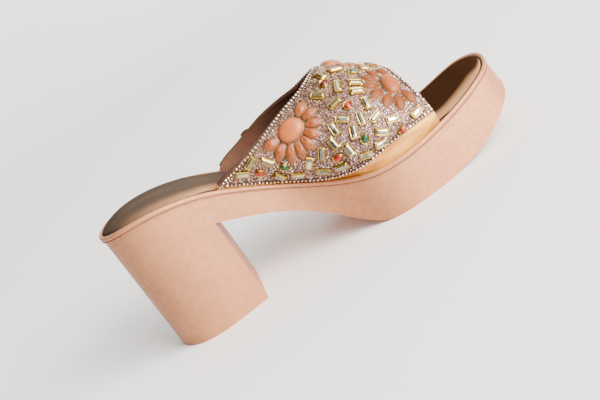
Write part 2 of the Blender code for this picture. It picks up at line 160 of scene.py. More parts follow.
Stone = namedtuple("Stone", "station across turn")
BAGUETTES = (
    Stone(88.0, 0.036, 5.0), Stone(95.0, 0.070, 55.0), Stone(103.0, 0.067, -25.0),
    Stone(104.5, 0.022, -40.0), Stone(113.5, 0.022, 0.0), Stone(122.0, 0.055, 70.0),
    Stone(130.0, 0.078, 80.0), Stone(126.0, 0.027, -10.0), Stone(135.5, 0.034, 15.0),
    Stone(149.0, 0.042, -10.0), Stone(143.0, 0.073, -70.0), Stone(138.0, 0.104, -60.0),
    Stone(142.5, 0.146, -70.0), Stone(150.0, 0.115, 75.0), Stone(157.5, 0.140, 85.0),
    Stone(149.5, 0.167, -30.0), Stone(164.5, 0.184, -88.0), Stone(164.5, 0.130, 30.0),
    Stone(171.5, 0.104, -5.0), Stone(162.5, 0.080, -20.0), Stone(159.0, 0.050, 0.0),
    Stone(185.0, 0.094, 20.0), Stone(151.0, 0.231, 20.0), Stone(146.5, 0.292, -25.0),
    Stone(158.0, 0.292, 75.0), Stone(167.0, 0.289, -10.0), Stone(164.5, 0.244, -5.0),
    Stone(154.5, 0.395, -65.0), Stone(163.5, 0.405, 5.0), Stone(177.5, 0.435, -85.0),
    Stone(180.5, 0.600, 90.0), Stone(185.0, 0.600, 90.0), Stone(169.0, 0.690, -65.0),
    Stone(157.0, 0.755, -30.0),
)
RED_DROPS = (
    Stone(156.0, 0.203, 50.0), Stone(173.0, 0.060, 60.0), Stone(136.0, 0.060, 30.0),
    Stone(96.5, 0.034, -35.0), Stone(184.5, 0.485, 20.0),
)
GARNET_DROPS = (
    Stone(153.5, 0.342, 40.0), Stone(183.0, 0.665, -30.0),
)
GREEN_DROPS = (
    Stone(153.0, 0.083, 50.0), Stone(109.5, 0.047, -30.0), Stone(170.5, 0.372, -30.0),
)
SMOKE_DROPS = (
    Stone(183.5, 0.540, 15.0),
)
Fold = namedtuple("Fold", "station across turn length width height")
MARGIN_FOLDS = (
    Fold(188.0, 0.030, 10.0, 16.0, 2.2, 0.77), Fold(178.0, 0.018, -6.0, 22.0, 1.8, 0.68),
    Fold(166.0, 0.026, 12.0, 18.0, 1.8, -0.59), Fold(172.0, 0.036, -12.0, 16.0, 1.6, 0.59),
    Fold(153.0, 0.014, 5.0, 20.0, 1.5, 0.51), Fold(140.0, 0.010, -5.0, 16.0, 1.4, -0.42),
    Fold(184.0, 0.985, 8.0, 18.0, 2.0, 0.59), Fold(160.0, 0.980, -8.0, 22.0, 1.8, 0.59),
)

# Sizes of the covers and the trim, in millimetres, with counts and shares

STATIONS = 151
WALL_ROWS = 14
HEEL_ROWS = 10
CREST_STEPS = 9

# Rings by their distance inside the outline and their rise over the rim's line

Ring = namedtuple("Ring", "inset rise")
SEAM = (Ring(0.1, -2.45), Ring(0.5, -2.6), Ring(0.5, -2.85))
SOLE_ROUNDING = 0.7
SOCK_PLAY = 0.1
SOCK_EDGE = (
    Ring(0.8, GAP - TRAY_DEPTH), Ring(0.2, -2.7), Ring(0.1, -2.2), Ring(0.1, -1.4),
    Ring(0.25, -0.75), Ring(0.5, -0.2), Ring(1.1, 0.3), Ring(2.0, 0.7), Ring(3.2, 1.07),
    Ring(5.0, 1.52), Ring(7.2, 1.97), Ring(9.5, 2.3), Ring(11.5, 2.45),
)
CREASE_ROWS = 5
SOCK_CROWN = 0.55
SOCK_COLUMNS = 12

# Vamp: easings as start and width, plain columns as shares of the margin

VAMP_START_EASE = (58.0, 9.0)
VAMP_END_EASE = (197.0, 8.0)
VAMP_ROWS = 73
PLAIN_SHARES = (0.12, 0.3, 0.5, 0.7, 0.88, 0.97)
PANEL_START = 1.03
PANEL_COLUMNS = 42
FOOT_RISES = (GAP - TRAY_DEPTH, -1.6, 0.3)
BINDING_POINTS = 181
BINDING_SIDES = 14

# Flowers and stones: seats over the panel, factors of size, least distances

FLOWER_SEAT = 0.05
OVAL_SHADE_RIM_HEIGHT = 0.9
PETAL_SHADE_RIM_HEIGHT = 0.8
FRONT_OVAL_WIDTH = 0.82
CROWN_FLOWER_HEIGHT = 0.75
DROP_WIDTH = 0.8
STONE_SEAT = -0.1
CHAIN_SEAT = -0.05
MIRRORED_UP_TO = 0.32
EDGE_TO_STONE = 4.0
FLOWER_TO_STONE = 4.2

# Edge chains: distance inside the edge in millimetres, then shares of the chain pitch

Chain = namedtuple("Chain", "aside pitch radius finish")
REAR_CHAINS = (Chain(-0.9, 1.0, 0.5, 1), Chain(-2.9, 0.75, 0.36, 2))
FRONT_CHAIN = Chain(1.2, 1.0, 0.48, 1)
MARGIN_CHAIN = Chain(1.1, 1.0, 0.48, 1)
INSIDE_CHAIN = Chain(2.9, 0.8, 0.36, 2)

# Seed beads: lengths along which stones hold them off, and the distances to keep

BAGUETTE_RUN = 7.6
DROP_RUN = 6.0
STONE_END = 1.4
STONE_CLEARANCE = 2.3
FLOWER_CLEARANCE = 0.75
FILL_STEP = 0.7
CHAIN_CLEARANCE = 0.45
BEAD_THROWS = 70000
BEAD_SIDES = 7
ROSE_SHARE = 0.6

# Stage: the camera in millimetres from station zero, the rest in metres

CAMERA_LENS = 62.0
CAMERA_PLACE = (93.3, -581.1, 195.3)
CAMERA_RIGHT = (0.818, -0.177, -0.547)
CAMERA_AHEAD = (0.066, 0.974, -0.216)
CAMERA_AIM = (-0.0155, 0.0, 0.0285)
FLOOR_HALF_WIDTH = 4.0
FLOOR_FRONT = -4.5
BEND_START, BEND_RADIUS, BEND_STEPS = 1.2, 0.9, 16
BACKDROP_TOP = 3.4
WHITE = (1.0, 0.99, 0.98)


# Curves of the form

def cubic(a, b, step, bends, values):
    """Cubic between two knots a step apart, b past the first and a short of the second."""
    return ((bends[0] * a ** 3 + bends[1] * b ** 3) / (6.0 * step)
            + (values[0] / step - bends[0] * step / 6.0) * a
            + (values[1] / step - bends[1] * step / 6.0) * b)


class Curve:
    """Natural cubic through one column of a table, read at any number of places."""

    def __init__(self, table, column):
        knots = np.array([row[0] for row in table])
        values = np.array([getattr(row, column) for row in table])
        steps = np.diff(knots)
        slopes = np.diff(values) / steps
        matrix = np.eye(len(knots))
        right = np.zeros(len(knots))
        for i in range(1, len(knots) - 1):
            matrix[i, i - 1:i + 2] = steps[i - 1], 2.0 * (steps[i - 1] + steps[i]), steps[i]
            right[i] = 6.0 * (slopes[i] - slopes[i - 1])
        self.knots = knots
        self.values = values
        self.steps = steps
        self.bend = np.linalg.solve(matrix, right)

    def __call__(self, where):
        x = np.clip(np.asarray(where, dtype=float), self.knots[0], self.knots[-1])
        k = np.clip(np.searchsorted(self.knots, x) - 1, 0, len(self.knots) - 2)
        return cubic(self.knots[k + 1] - x, x - self.knots[k], self.steps[k],
                     (self.bend[k], self.bend[k + 1]), (self.values[k], self.values[k + 1]))


def closed_curve(points, samples):
    """Smooth closed curve through the points, with centripetal spacing."""
    points = np.asarray(points, dtype=float)
    count = len(points)
    steps = np.linalg.norm(np.roll(points, -1, axis=0) - points, axis=1) ** 0.5
    slopes = (np.roll(points, -1, axis=0) - points) / steps[:, None]
    matrix = np.zeros((count, count))
    right = np.zeros((count, 2))
    for i in range(count):
        before = steps[i - 1]
        matrix[i, i - 1] += before
        matrix[i, i] += 2.0 * (before + steps[i])
        matrix[i, (i + 1) % count] += steps[i]
        right[i] = 6.0 * (slopes[i] - slopes[i - 1])
    bend = np.linalg.solve(matrix, right)
    result = []
    for i in range(count):
        j = (i + 1) % count
        b = np.linspace(0.0, steps[i], samples, endpoint=False)[:, None]
        result.append(cubic(steps[i] - b, b, steps[i], (bend[i], bend[j]),
                            (points[i], points[j])))
    return np.vstack(result)


def rim_outline():
    """Dense outline of the rim, inner side first, from heel end to toe end and back."""
    inner = [(row.station, -row.inner) for row in OUTLINE]
    outer = [(row.station, row.outer) for row in reversed(OUTLINE)]
    return closed_curve([(0.0, HEEL_END_Y), *inner, (LENGTH, TOE_END_Y), *outer], 60)


def inward_normals(loop):
    """Unit normals of a closed loop that runs anticlockwise, pointing inward."""
    along = np.roll(loop, -1, axis=0) - np.roll(loop, 1, axis=0)
    normals = np.column_stack((-along[:, 1], along[:, 0]))
    return normals / np.linalg.norm(normals, axis=1)[:, None]


DENSE = rim_outline()
DENSE_NORMALS = inward_normals(DENSE)
HEEL = int(DENSE[:, 0].argmin())
TOE = int(DENSE[:, 0].argmax())


def side_at(station, inset, outer_side):
    """Distance across, at stations, of the outline moved inward by an inset."""
    moved = DENSE + DENSE_NORMALS * inset
    heel, toe = moved[:, 0].argmin(), moved[:, 0].argmax()
    chain = moved[toe:] if outer_side else moved[heel:toe + 1]
    order = chain[:, 0].argsort()
    return np.interp(station, chain[order, 0], chain[order, 1])


def loop_at(stations):
    """Outline points and inward normals at stations: inner side, toe, outer side, heel."""
    inner = np.arange(HEEL, TOE + 1)
    outer = np.concatenate((np.arange(TOE, len(DENSE)), np.arange(0, HEEL + 1)))[::-1]
    columns = np.column_stack((DENSE, DENSE_NORMALS))
    sides = []
    for side in (inner, outer):
        rows = columns[side][DENSE[side, 0].argsort()]
        sides.append(np.column_stack([np.interp(stations, rows[:, 0], rows[:, k])
                                      for k in range(4)]))
    chain = np.vstack((sides[0], sides[1][-2:0:-1]))
    normals = chain[:, 2:]
    return chain[:, :2], normals / np.linalg.norm(normals, axis=1)[:, None]


RIM_Z = Curve(RIM, "z")
ARCH_Z = Curve(ARCH, "z")
SPRING_Z = Curve(TOE_SPRING, "z")
CROWN = Curve(FORM, "crown")
INNER_BULGE = Curve(FORM, "inner_bulge")
OUTER_BULGE = Curve(FORM, "outer_bulge")
FULLNESS = Curve(FORM, "fullness")
REAR = Curve(EDGES, "rear")
FRONT = Curve(EDGES, "front")


def ease(value, start, width):
    """Zero to one with level ends, over a width from a start."""
    value = np.clip((value - start) / width, 0.0, 1.0)
    return value * value * (3.0 - 2.0 * value)


def station_at(share, across):
    """Station at a share of the way from the vamp's rear edge to its front edge."""
    return REAR(across) + (FRONT(across) - REAR(across)) * share


def shoe_origin():
    """Where station zero on the axis lies, found from the footbed's own box."""
    moved = DENSE + DENSE_NORMALS * FOOTBED_INSET
    low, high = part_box("footbed")
    middle = (np.array(low) + np.array(high))[:2] / 2.0 / MM
    drawn = (moved.min(axis=0) + moved.max(axis=0)) / 2.0
    return np.array((*(middle - drawn), 0.0))


ORIGIN = shoe_origin()


def unit(rows):
    """Rows scaled to length one."""
    return rows / np.maximum(np.linalg.norm(rows, axis=-1, keepdims=True), 1e-9)


def vamp(station, across):
    """Outer face of the vamp at stations and places across, bulging beyond the rim."""
    station, across = np.broadcast_arrays(
        np.asarray(station, dtype=float), np.asarray(across, dtype=float))
    inner = side_at(station, TUCK, False)
    outer = side_at(station, TUCK, True)
    base = RIM_Z(station)
    rise = CROWN(station) - base
    power = 2.0 / FULLNESS(station)
    angle = pi * across
    height = np.clip(np.sin(angle), 0.0, 1.0) ** power
    spread = np.abs(np.cos(angle)) ** power * np.where(across < 0.5, 1.0, -1.0)
    peak = 1.0 / (1.0 + BULGE_FALL)
    swell = height * (1.0 - height) ** BULGE_FALL / (peak * (1.0 - peak) ** BULGE_FALL)
    bulge = np.where(across < 0.5, INNER_BULGE(station), OUTER_BULGE(station)) * swell
    middle = (inner + outer) / 2.0
    half = (outer - inner) / 2.0
    return np.stack((station, middle - spread * (half + bulge), base + rise * height), axis=-1)


def vamp_frame(station, across):
    """Points, forward tangents, tangents across and outward normals of the vamp."""
    point = vamp(station, across)
    forward = unit(vamp(station + STEP_AHEAD, across) - vamp(station - STEP_AHEAD, across))
    over = vamp(station, across + STEP_ACROSS) - vamp(station, across - STEP_ACROSS)
    over = unit(over - forward * (forward * over).sum(axis=-1, keepdims=True))
    return point, forward, over, np.cross(forward, over)


def margin(share):
    """Share of the arch, next to the rim, that the bead panel leaves plain."""
    return MARGIN_REAR + (MARGIN_FRONT - MARGIN_REAR) * ease(share, *MARGIN_EASE)


def reach(origin, forward, over, station, across, ahead, aside):
    """Stations and places across that lie at flat distances from points of the vamp."""
    s = np.zeros(len(ahead)) + station
    u = np.zeros(len(ahead)) + across
    half = STEP_ACROSS / 2
    for _ in range(BENDING_ROUNDS):
        offset = vamp(s, u) - origin
        miss = np.stack((ahead - (offset * forward).sum(axis=-1),
                         aside - (offset * over).sum(axis=-1)), axis=-1)
        along = vamp(s + STEP_AHEAD, u) - vamp(s - STEP_AHEAD, u)
        around = (vamp(s, u + half) - vamp(s, u - half)) / STEP_ACROSS
        matrix = np.stack([np.stack([(side * axis).sum(axis=-1) for side in (along, around)],
                                    axis=-1) for axis in (forward, over)], axis=-2)
        step = np.linalg.solve(matrix, miss[..., None])[..., 0]
        s = s + np.clip(step[:, 0], -MOST_AHEAD, MOST_AHEAD)
        u = u + np.clip(step[:, 1], -MOST_ACROSS, MOST_ACROSS)
        u = np.clip(u, ARCH_FOOT, 1.0 - ARCH_FOOT)
    return s, u


def turned(points, angle):
    """Points turned about the upright axis by an angle in radians."""
    x, y = points[:, 0], points[:, 1]
    return np.column_stack((x * cos(angle) - y * sin(angle), x * sin(angle) + y * cos(angle),
                            points[:, 2]))


def frame_at(station, across):
    """Point, forward tangent, tangent across and outward normal at one place of the vamp."""
    return [row[0] for row in vamp_frame(np.array([station]), np.array([across]))]


def laid_on_vamp(shape, station, across, turn, seat):
    """Vertices of a flat-based shape, bent onto the vamp at a place and a turn."""
    origin, forward, over, _ = frame_at(station, across)
    ahead, aside, height = turned(shape, radians(turn)).T
    s, u = reach(origin, forward, over, station, across, ahead, aside)
    point, _, _, normal = vamp_frame(s, u)
    return point + normal * (PANEL_STEP + seat + height[:, None])


def strung(station, across, aside, pitch):
    """Places at an even pitch along a run of the vamp, moved aside from it on the surface."""
    point, _, _, normal = vamp_frame(station, across)
    along = unit(np.gradient(point, axis=0))
    away = unit(np.cross(normal, along))
    none = np.zeros(len(point))
    s, u = reach(point, along, away, station, across, none, none + aside)
    lengths = np.linalg.norm(np.diff(vamp(s, u), axis=0), axis=1)
    run = np.concatenate(([0.0], lengths.cumsum()))
    count = int(run[-1] / pitch)
    places = (np.arange(count) + 0.5) * run[-1] / count
    return np.interp(places, run, s), np.interp(places, run, u)


# Meshes

def grid_faces(rows, columns, start=0, closed=False):
    """Quads of a grid of vertices, stored row by row; closed joins the last column on."""
    faces = []
    for r in range(rows - 1):
        for c in range(columns if closed else columns - 1):
            d = (c + 1) % columns
            low = start + r * columns
            faces.append((low + c, low + d, low + columns + d, low + columns + c))
    return faces


def strips_between(chain):
    """Faces that close a chain of vertices from side to side, paired from its two ends."""
    faces = []
    low, high = 0, len(chain) - 1
    while high - low >= 3:
        faces.append((chain[low], chain[low + 1], chain[high - 1], chain[high]))
        low += 1
        high -= 1
    if high - low == 2:
        faces.append((chain[low], chain[low + 1], chain[high]))
    return faces


def turns(count, twist=0.0):
    """Angles round a full turn in radians, begun a share of a step on."""
    return [2.0 * pi * (k + twist) / count for k in range(count)]


def linked(name, data):
    """New object that holds the data, in the scene's own collection."""
    made = bpy.data.objects.new(name, data)
    bpy.context.scene.collection.objects.link(made)
    return made


class Shape:
    """Vertices in millimetres and faces, gathered from parts, with a finish for each face."""

    def __init__(self):
        self.vertices = []
        self.faces = []
        self.finishes = []
        self.count = 0

    def extend(self, vertices):
        """Adds vertices without faces and gives the number of the first."""
        first = self.count
        self.vertices.append(np.asarray(vertices, dtype=float))
        self.count += len(vertices)
        return first

    def add(self, vertices, faces, finish=0):
        """Adds vertices with faces that count from the first of them."""
        first = self.extend(vertices)
        self.faces += [tuple(k + first for k in face) for face in faces]
        self.finishes += [finish] * len(faces)

    def scatter(self, parts, station, across, turn=0.0, seat=0.0, scale=1.0, tilt=0.0, seed=1):
        """Copies of hard parts, each (vertices, faces, finish), stood on the vamp at places.

        Tilt is how far, in degrees, each copy may lean out of square.
        """
        point, forward, over, normal = vamp_frame(np.atleast_1d(station), np.atleast_1d(across))
        angle = (np.radians(turn) + np.zeros(len(point)))[:, None]
        size = (scale + np.zeros(len(point)))[:, None, None]
        base = (point + normal * (PANEL_STEP + seat))[:, None, :]
        lean = np.random.default_rng(seed).uniform(-1.0, 1.0, (len(point), 2)) * radians(tilt)
        normal = unit(normal + forward * lean[:, :1] + over * lean[:, 1:])
        long = forward * np.cos(angle) + over * np.sin(angle)
        wide = unit(np.cross(normal, long))
        long = np.cross(wide, normal)[:, None, :]
        wide = wide[:, None, :]
        for vertices, faces, finish in parts:
            v = np.asarray(vertices, dtype=float)[None, :, :]
            placed = base + size * (v[..., 0:1] * long + v[..., 1:2] * wide
                                    + v[..., 2:3] * normal[:, None, :])
            for copy in placed:
                self.add(copy, faces, finish)

    def piece(self, name, materials, slot, replaced=(), smooth=None):
        """The finished object, riding on the shoe; smooth is the sharp angle in degrees."""
        points = (np.vstack(self.vertices) + ORIGIN) * MM
        mesh = bpy.data.meshes.new(name)
        mesh.from_pydata(points.tolist(), [], self.faces)
        mesh.polygons.foreach_set("material_index", self.finishes)
        work = bmesh.new()
        work.from_mesh(mesh)
        bmesh.ops.recalc_face_normals(work, faces=work.faces)
        work.to_mesh(mesh)
        work.free()
        for material in materials:
            mesh.materials.append(material)
        if smooth is None:
            mesh.shade_flat()
        else:
            mesh.shade_smooth()
            mesh.set_sharp_from_angle(angle=radians(smooth))
        made = linked(name, mesh)
        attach(made, "root")
        if replaced:
            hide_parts(*replaced)
        return made


# Shader helpers

def shade(colour, factor):
    """A colour made darker or lighter by a factor."""
    return tuple(min(1.0, c * factor) for c in colour[:3])


class Term:
    """A shader socket that takes part in ordinary arithmetic."""

    def __init__(self, finish, socket):
        self.finish = finish
        self.socket = socket

    def maths(self, operation, *values):
        sockets = dict(enumerate(values))
        return self.finish.node("ShaderNodeMath", {"operation": operation}, sockets)

    def __add__(self, other):
        return self.maths("ADD", self, other)

    def __radd__(self, other):
        return self.maths("ADD", other, self)

    def __sub__(self, other):
        return self.maths("SUBTRACT", self, other)

    def __rsub__(self, other):
        return self.maths("SUBTRACT", other, self)

    def __mul__(self, other):
        return self.maths("MULTIPLY", self, other)

    def __rmul__(self, other):
        return self.maths("MULTIPLY", other, self)

    def between(self, low, high):
        """Zero at low, one at high, clamped."""
        sockets = {"Value": self, "From Min": low, "From Max": high}
        return self.finish.node("ShaderNodeMapRange", {"clamp": True}, sockets)


class Finish:
    """A procedural material: nodes by one method, ending in one surface shader."""

    def __init__(self, name):
        self.material = bpy.data.materials.new(name)
        self.material.use_nodes = True
        self.material.node_tree.nodes.clear()
        self.place = self.node("ShaderNodeTexCoord", out="Object")

    def node(self, kind, settings=None, sockets=None, out=0):
        """One more node: settings by name, sockets set to values or linked to terms."""
        made = self.material.node_tree.nodes.new(kind)
        for key, value in (settings or {}).items():
            if key == "stops":
                ramp = made.color_ramp.elements
                while len(ramp) < len(value):
                    ramp.new(1.0)
                for element, (position, colour) in zip(ramp, value):
                    element.position = position
                    element.color = (*colour, 1.0)
            else:
                setattr(made, key, value)
        for key, value in (sockets or {}).items():
            if isinstance(value, Term):
                self.material.node_tree.links.new(value.socket, made.inputs[key])
            elif isinstance(value, tuple) and len(made.inputs[key].default_value) == 4:
                made.inputs[key].default_value = (*value[:3], 1.0)
            else:
                made.inputs[key].default_value = value
        return Term(self, made.outputs[out])

    def noise(self, scale, detail, roughness, stretch=None):
        """Noise over the shoe's own space, stretched along its axes if asked."""
        place = self.place
        if stretch:
            place = self.node("ShaderNodeMapping", None, {"Vector": place, "Scale": stretch})
        sockets = {"Vector": place, "Scale": scale, "Detail": detail, "Roughness": roughness}
        return self.node("ShaderNodeTexNoise", None, sockets)

    def part(self, vector, axis):
        """One axis of a vector."""
        return self.node("ShaderNodeSeparateXYZ", None, {"Vector": vector}, axis)

    def along(self, axis, start, end):
        """From 0 to 1 between two places on an axis of the shoe, in metres."""
        return self.part(self.place, axis).between(start, end)

    def lean(self, start, end):
        """From 0 to 1 as the surface turns from level towards either side of the shoe."""
        aside = self.part(self.node("ShaderNodeTexCoord", out="Normal"), "Y")
        return (aside * aside).between(start ** 2, end ** 2)

    def cells(self, scale, out="Distance"):
        sockets = {"Vector": self.place, "Scale": scale}
        return self.node("ShaderNodeTexVoronoi", None, sockets, out)

    def mix(self, factor, first, second):
        sockets = {0: factor, 6: first, 7: second}
        return self.node("ShaderNodeMix", {"data_type": "RGBA"}, sockets, 2)

    def tint(self, factor, colour, low, high):
        """A colour that goes from one shade of it to another."""
        return self.mix(factor, shade(colour, low), shade(colour, high))

    def ramp(self, factor, stops):
        return self.node("ShaderNodeValToRGB", {"stops": stops}, {"Fac": factor})

    def bump(self, height, depth_mm, strength):
        sockets = {"Height": height, "Distance": depth_mm * MM, "Strength": strength}
        return self.node("ShaderNodeBump", None, sockets)

    def surface(self, sockets):
        """Principled surface from its sockets by name."""
        shader = self.node("ShaderNodeBsdfPrincipled", None, sockets, "BSDF")
        tree = self.material.node_tree
        output = tree.nodes.new("ShaderNodeOutputMaterial")
        tree.links.new(shader.socket, output.inputs["Surface"])
        return self.material


# Sizes and colours that a user would change

class SandalSizes(bpy.types.PropertyGroup):
    bead: bpy.props.FloatProperty(
        name="Seed bead", description="Width of a bead of the ground",
        default=1.15 * MM, unit="LENGTH")
    bead_pitch: bpy.props.FloatProperty(
        name="Bead pitch", description="Least distance between two beads",
        default=1.2 * MM, unit="LENGTH")
    chain_pitch: bpy.props.FloatProperty(
        name="Chain pitch", description="Distance between stones of the edge chain",
        default=2.2 * MM, unit="LENGTH")
    baguette_length: bpy.props.FloatProperty(
        name="Baguette length", description="Length of a baguette with its setting",
        default=8.2 * MM, unit="LENGTH")
    baguette_width: bpy.props.FloatProperty(
        name="Baguette width", description="Width of a baguette with its setting",
        default=4.2 * MM, unit="LENGTH")
    drop_length: bpy.props.FloatProperty(
        name="Drop length", description="Length of a drop stone with its setting",
        default=6.4 * MM, unit="LENGTH")
    binding_radius: bpy.props.FloatProperty(
        name="Binding radius", description="Half the width of the fold along the topline",
        default=1.3 * MM, unit="LENGTH")


class SandalColours(bpy.types.PropertyGroup):
    cover: bpy.props.FloatVectorProperty(
        name="Cover", description="Rose gold cover of sole and heel",
        default=(0.45, 0.187, 0.085), subtype="COLOR")
    # Set far darker than the sock's champagne: painted shade of the footbed inside the shoe
    sock: bpy.props.FloatVectorProperty(
        name="Sock", description="Champagne cover of the footbed",
        default=(0.064, 0.044, 0.032), subtype="COLOR")
    lining: bpy.props.FloatVectorProperty(
        name="Lining", description="Brown lining of the vamp",
        default=(0.085, 0.036, 0.021), subtype="COLOR")
    satin: bpy.props.FloatVectorProperty(
        name="Satin", description="Plain satin between the bead panel and the rim",
        default=(0.66, 0.345, 0.05), subtype="COLOR")
    ground: bpy.props.FloatVectorProperty(
        name="Ground", description="Cloth under the beads of the panel",
        default=(0.24, 0.12, 0.085), subtype="COLOR")
    coral: bpy.props.FloatVectorProperty(
        name="Coral", description="Resin of the flowers",
        default=(0.35, 0.086, 0.019), subtype="COLOR")
    gold: bpy.props.FloatVectorProperty(
        name="Gold", description="Settings of the stones",
        default=(0.48, 0.30, 0.05), subtype="COLOR")
    crystal: bpy.props.FloatVectorProperty(
        name="Crystal", description="Foiled clear crystal",
        default=(0.60, 0.575, 0.47), subtype="COLOR")
    floor: bpy.props.FloatVectorProperty(
        name="Floor", description="Floor and sweep behind the shoe",
        default=(0.93, 0.915, 0.90), subtype="COLOR")


def sizes():
    return bpy.context.scene.sandal_sizes


def colours():
    return bpy.context.scene.sandal_colours


# Finishes

# Heights over the floor, in metres, between which the small trim turns a darker, browner gold:
# painted shadow over the crown
CROWN_SHADE_HEIGHTS = (0.060, 0.076)


def grained(name, colour, metallic, roughness, grain, depth, dark, gloss):
    """Metallic leathercloth: fine grain, faint clouding, mottled sheen and darker hollows."""
    finish = Finish(name)
    cloud = finish.noise(38.0, 3.0, 0.6)
    mottle = finish.noise(300.0, 4.0, 0.7)
    fine = finish.noise(grain, 4.0, 0.65)
    cell = finish.cells(grain * 0.9)
    base = finish.tint(cloud.between(0.3, 0.75), colour, 0.92, 1.05)
    base = finish.mix(mottle.between(0.56, 0.40) * 0.3, base, shade(colour, 0.66))
    base = finish.mix(fine.between(0.35, 0.25) * dark, base, shade(colour, 0.5))
    relief = fine * 0.6 + cell * 0.4 + mottle * 0.5
    return finish.surface({
        "Base Color": base,
        "Metallic": metallic,
        "Roughness": roughness + cloud * 0.08 + mottle.between(0.6, 0.4) * 0.1,
        "Normal": finish.bump(relief, depth, 0.5),
        "Specular IOR Level": gloss,
    })


def sock_finish():
    """Padded sock cover: dull on top, with painted shade that darkens it towards the toe and where
    it rolls down, and a painted champagne highlight on the roll ahead of the heel end.
    """
    finish = Finish("champagne_sock_cover")
    colour = colours().sock
    cloud = finish.noise(60.0, 3.0, 0.6, stretch=(0.4, 1.6, 1.0))
    fine = finish.noise(1100.0, 4.0, 0.65)
    base = finish.tint(cloud.between(0.3, 0.75), colour, 0.82, 1.15)
    # Painted shade: darker towards the toe
    base = finish.mix(finish.along("X", -0.06, 0.03), base, (0.027, 0.010, 0.0035))
    # Painted shade and highlight where the sock rolls down: darker all along, champagne ahead of
    # the heel end
    roll = finish.lean(0.10, 0.24)
    base = finish.mix(roll * 0.5, base, shade(colour, 0.4))
    base = finish.mix(roll * finish.along("X", -0.112, -0.045), base, (0.33, 0.165, 0.078))
    base = finish.mix(fine.between(0.35, 0.25) * 0.35, base, shade(colour, 0.5))
    return finish.surface({
        "Base Color": base,
        "Metallic": 0.05,
        "Roughness": 0.55 + fine * 0.15,
        "Normal": finish.bump(fine, 0.06, 0.5),
        "Specular IOR Level": 0.0,
    })


def lining_finish():
    """Brown lining: dull, with a fine nap and faint clouds."""
    finish = Finish("lining_leather")
    colour = colours().lining
    cloud = finish.noise(55.0, 3.0, 0.6)
    fine = finish.noise(1500.0, 3.0, 0.6)
    base = finish.tint(cloud.between(0.25, 0.8), colour, 0.75, 1.35)
    return finish.surface({
        "Base Color": base,
        "Metallic": 0.05,
        "Roughness": 0.62 + fine * 0.15,
        "Normal": finish.bump(fine, 0.05, 0.4),
        "Specular IOR Level": 0.05,
    })


def satin_finish():
    """Gold-peach satin: thread lines, soft pulls with painted shade in their troughs and a painted
    sheen on their crests, and a broad sheen.
    """
    finish = Finish("margin_satin")
    colour = colours().satin
    threads = finish.noise(220.0, 2.0, 0.5, stretch=(0.35, 6.0, 6.0))
    pulls = finish.noise(95.0, 3.0, 0.55, stretch=(0.5, 2.0, 2.5))
    # Painted shade and highlight: darker orange in the troughs of the pulls, lighter gold on their
    # crests
    base = finish.mix(pulls.between(0.36, 0.64), (0.50, 0.17, 0.025), shade(colour, 1.2))
    base = finish.mix(threads.between(0.45, 0.3) * 0.4, base, (0.30, 0.11, 0.03))
    return finish.surface({
        "Base Color": base,
        "Metallic": 0.3,
        "Roughness": 0.28 + threads * 0.15,
        "Normal": finish.bump(threads * 0.3 + pulls, 0.9, 0.7),
        "Anisotropic": 0.4,
    })


def ground_finish():
    """Cloth of the bead panel: rose and silver specks in a tight weave."""
    finish = Finish("panel_cloth")
    colour = colours().ground
    speck = finish.cells(900.0, out="Color")
    size = finish.cells(900.0)
    base = finish.tint(speck.between(0.45, 0.9), colour, 0.4, 1.3)
    return finish.surface({
        "Base Color": base,
        "Metallic": 0.4,
        "Roughness": 0.35 + size * 0.4,
        "Normal": finish.bump(1.0 - size, 0.5, 0.9),
    })


def bead_finish(name, dark, middle, light, crown_shade=0.0):
    """Small cut beads whose tone changes from one to the next, with a darker, browner painted
    shadow on the crown.
    """
    finish = Finish(name)
    tone = finish.cells(830.0, out="Color")
    glint = finish.noise(1700.0, 1.0, 0.5)
    base = finish.ramp(tone, ((0.3, dark), (0.48, middle), (0.7, light)))
    # Painted shadow on the crown: darker, browner bead tones
    if crown_shade:
        crown_shade_tone = finish.ramp(tone, ((0.3, (0.04, 0.02, 0.008)), (0.55, (0.17, 0.095, 0.032)),
                                  (0.78, (0.52, 0.36, 0.17))))
        base = finish.mix(finish.along("Z", *CROWN_SHADE_HEIGHTS) * crown_shade, base, crown_shade_tone)
    return finish.surface({
        "Base Color": base,
        "Metallic": 0.65,
        "Roughness": 0.2 + glint * 0.25,
        "Normal": finish.bump(glint, 0.08, 0.5),
    })


def metal_finish(name, grain, dull, bright, metallic, roughness):
    """Pressed metal of settings, dull and bright in soft random patches; it also makes the dark
    rims under the flowers, which are painted shade.
    """
    finish = Finish(name)
    wear = finish.noise(grain, 3.0, 0.6)
    return finish.surface({
        "Base Color": finish.mix(wear.between(0.3, 0.7), dull, bright),
        "Metallic": metallic,
        "Roughness": roughness + wear * 0.2,
        "Normal": finish.bump(wear, 0.05, 0.5),
    })


def crystal_finish(name, colour, metallic, dark, coat, low=0.35, crown_shade=0.0):
    """Foiled cut glass: hard glints, a faint cloud, patches of darker and lighter tone that are
    painted reflections of its facets, and on the crown a painted shadow.
    """
    finish = Finish(name)
    cloud = finish.noise(420.0, 2.0, 0.5)
    # Painted reflection: darker and lighter patches about a stone across stand in for facets
    # catching dark and bright surroundings
    facet_reflection = finish.cells(105.0, out="Color")
    base = finish.tint(facet_reflection.between(low, low + 0.27), colour, dark, 1.1)
    base = finish.mix(cloud.between(0.3, 0.7) * 0.3, base, shade(colour, 0.6))
    # Painted shadow on the crown: a dark olive gold
    if crown_shade:
        base = finish.mix(finish.along("Z", *CROWN_SHADE_HEIGHTS) * crown_shade, base, (0.26, 0.19, 0.045))
    return finish.surface({
        "Base Color": base,
        "Metallic": metallic,
        "Roughness": 0.06 + cloud * 0.12,
        "Coat Weight": coat,
        "Coat Roughness": 0.04,
    })


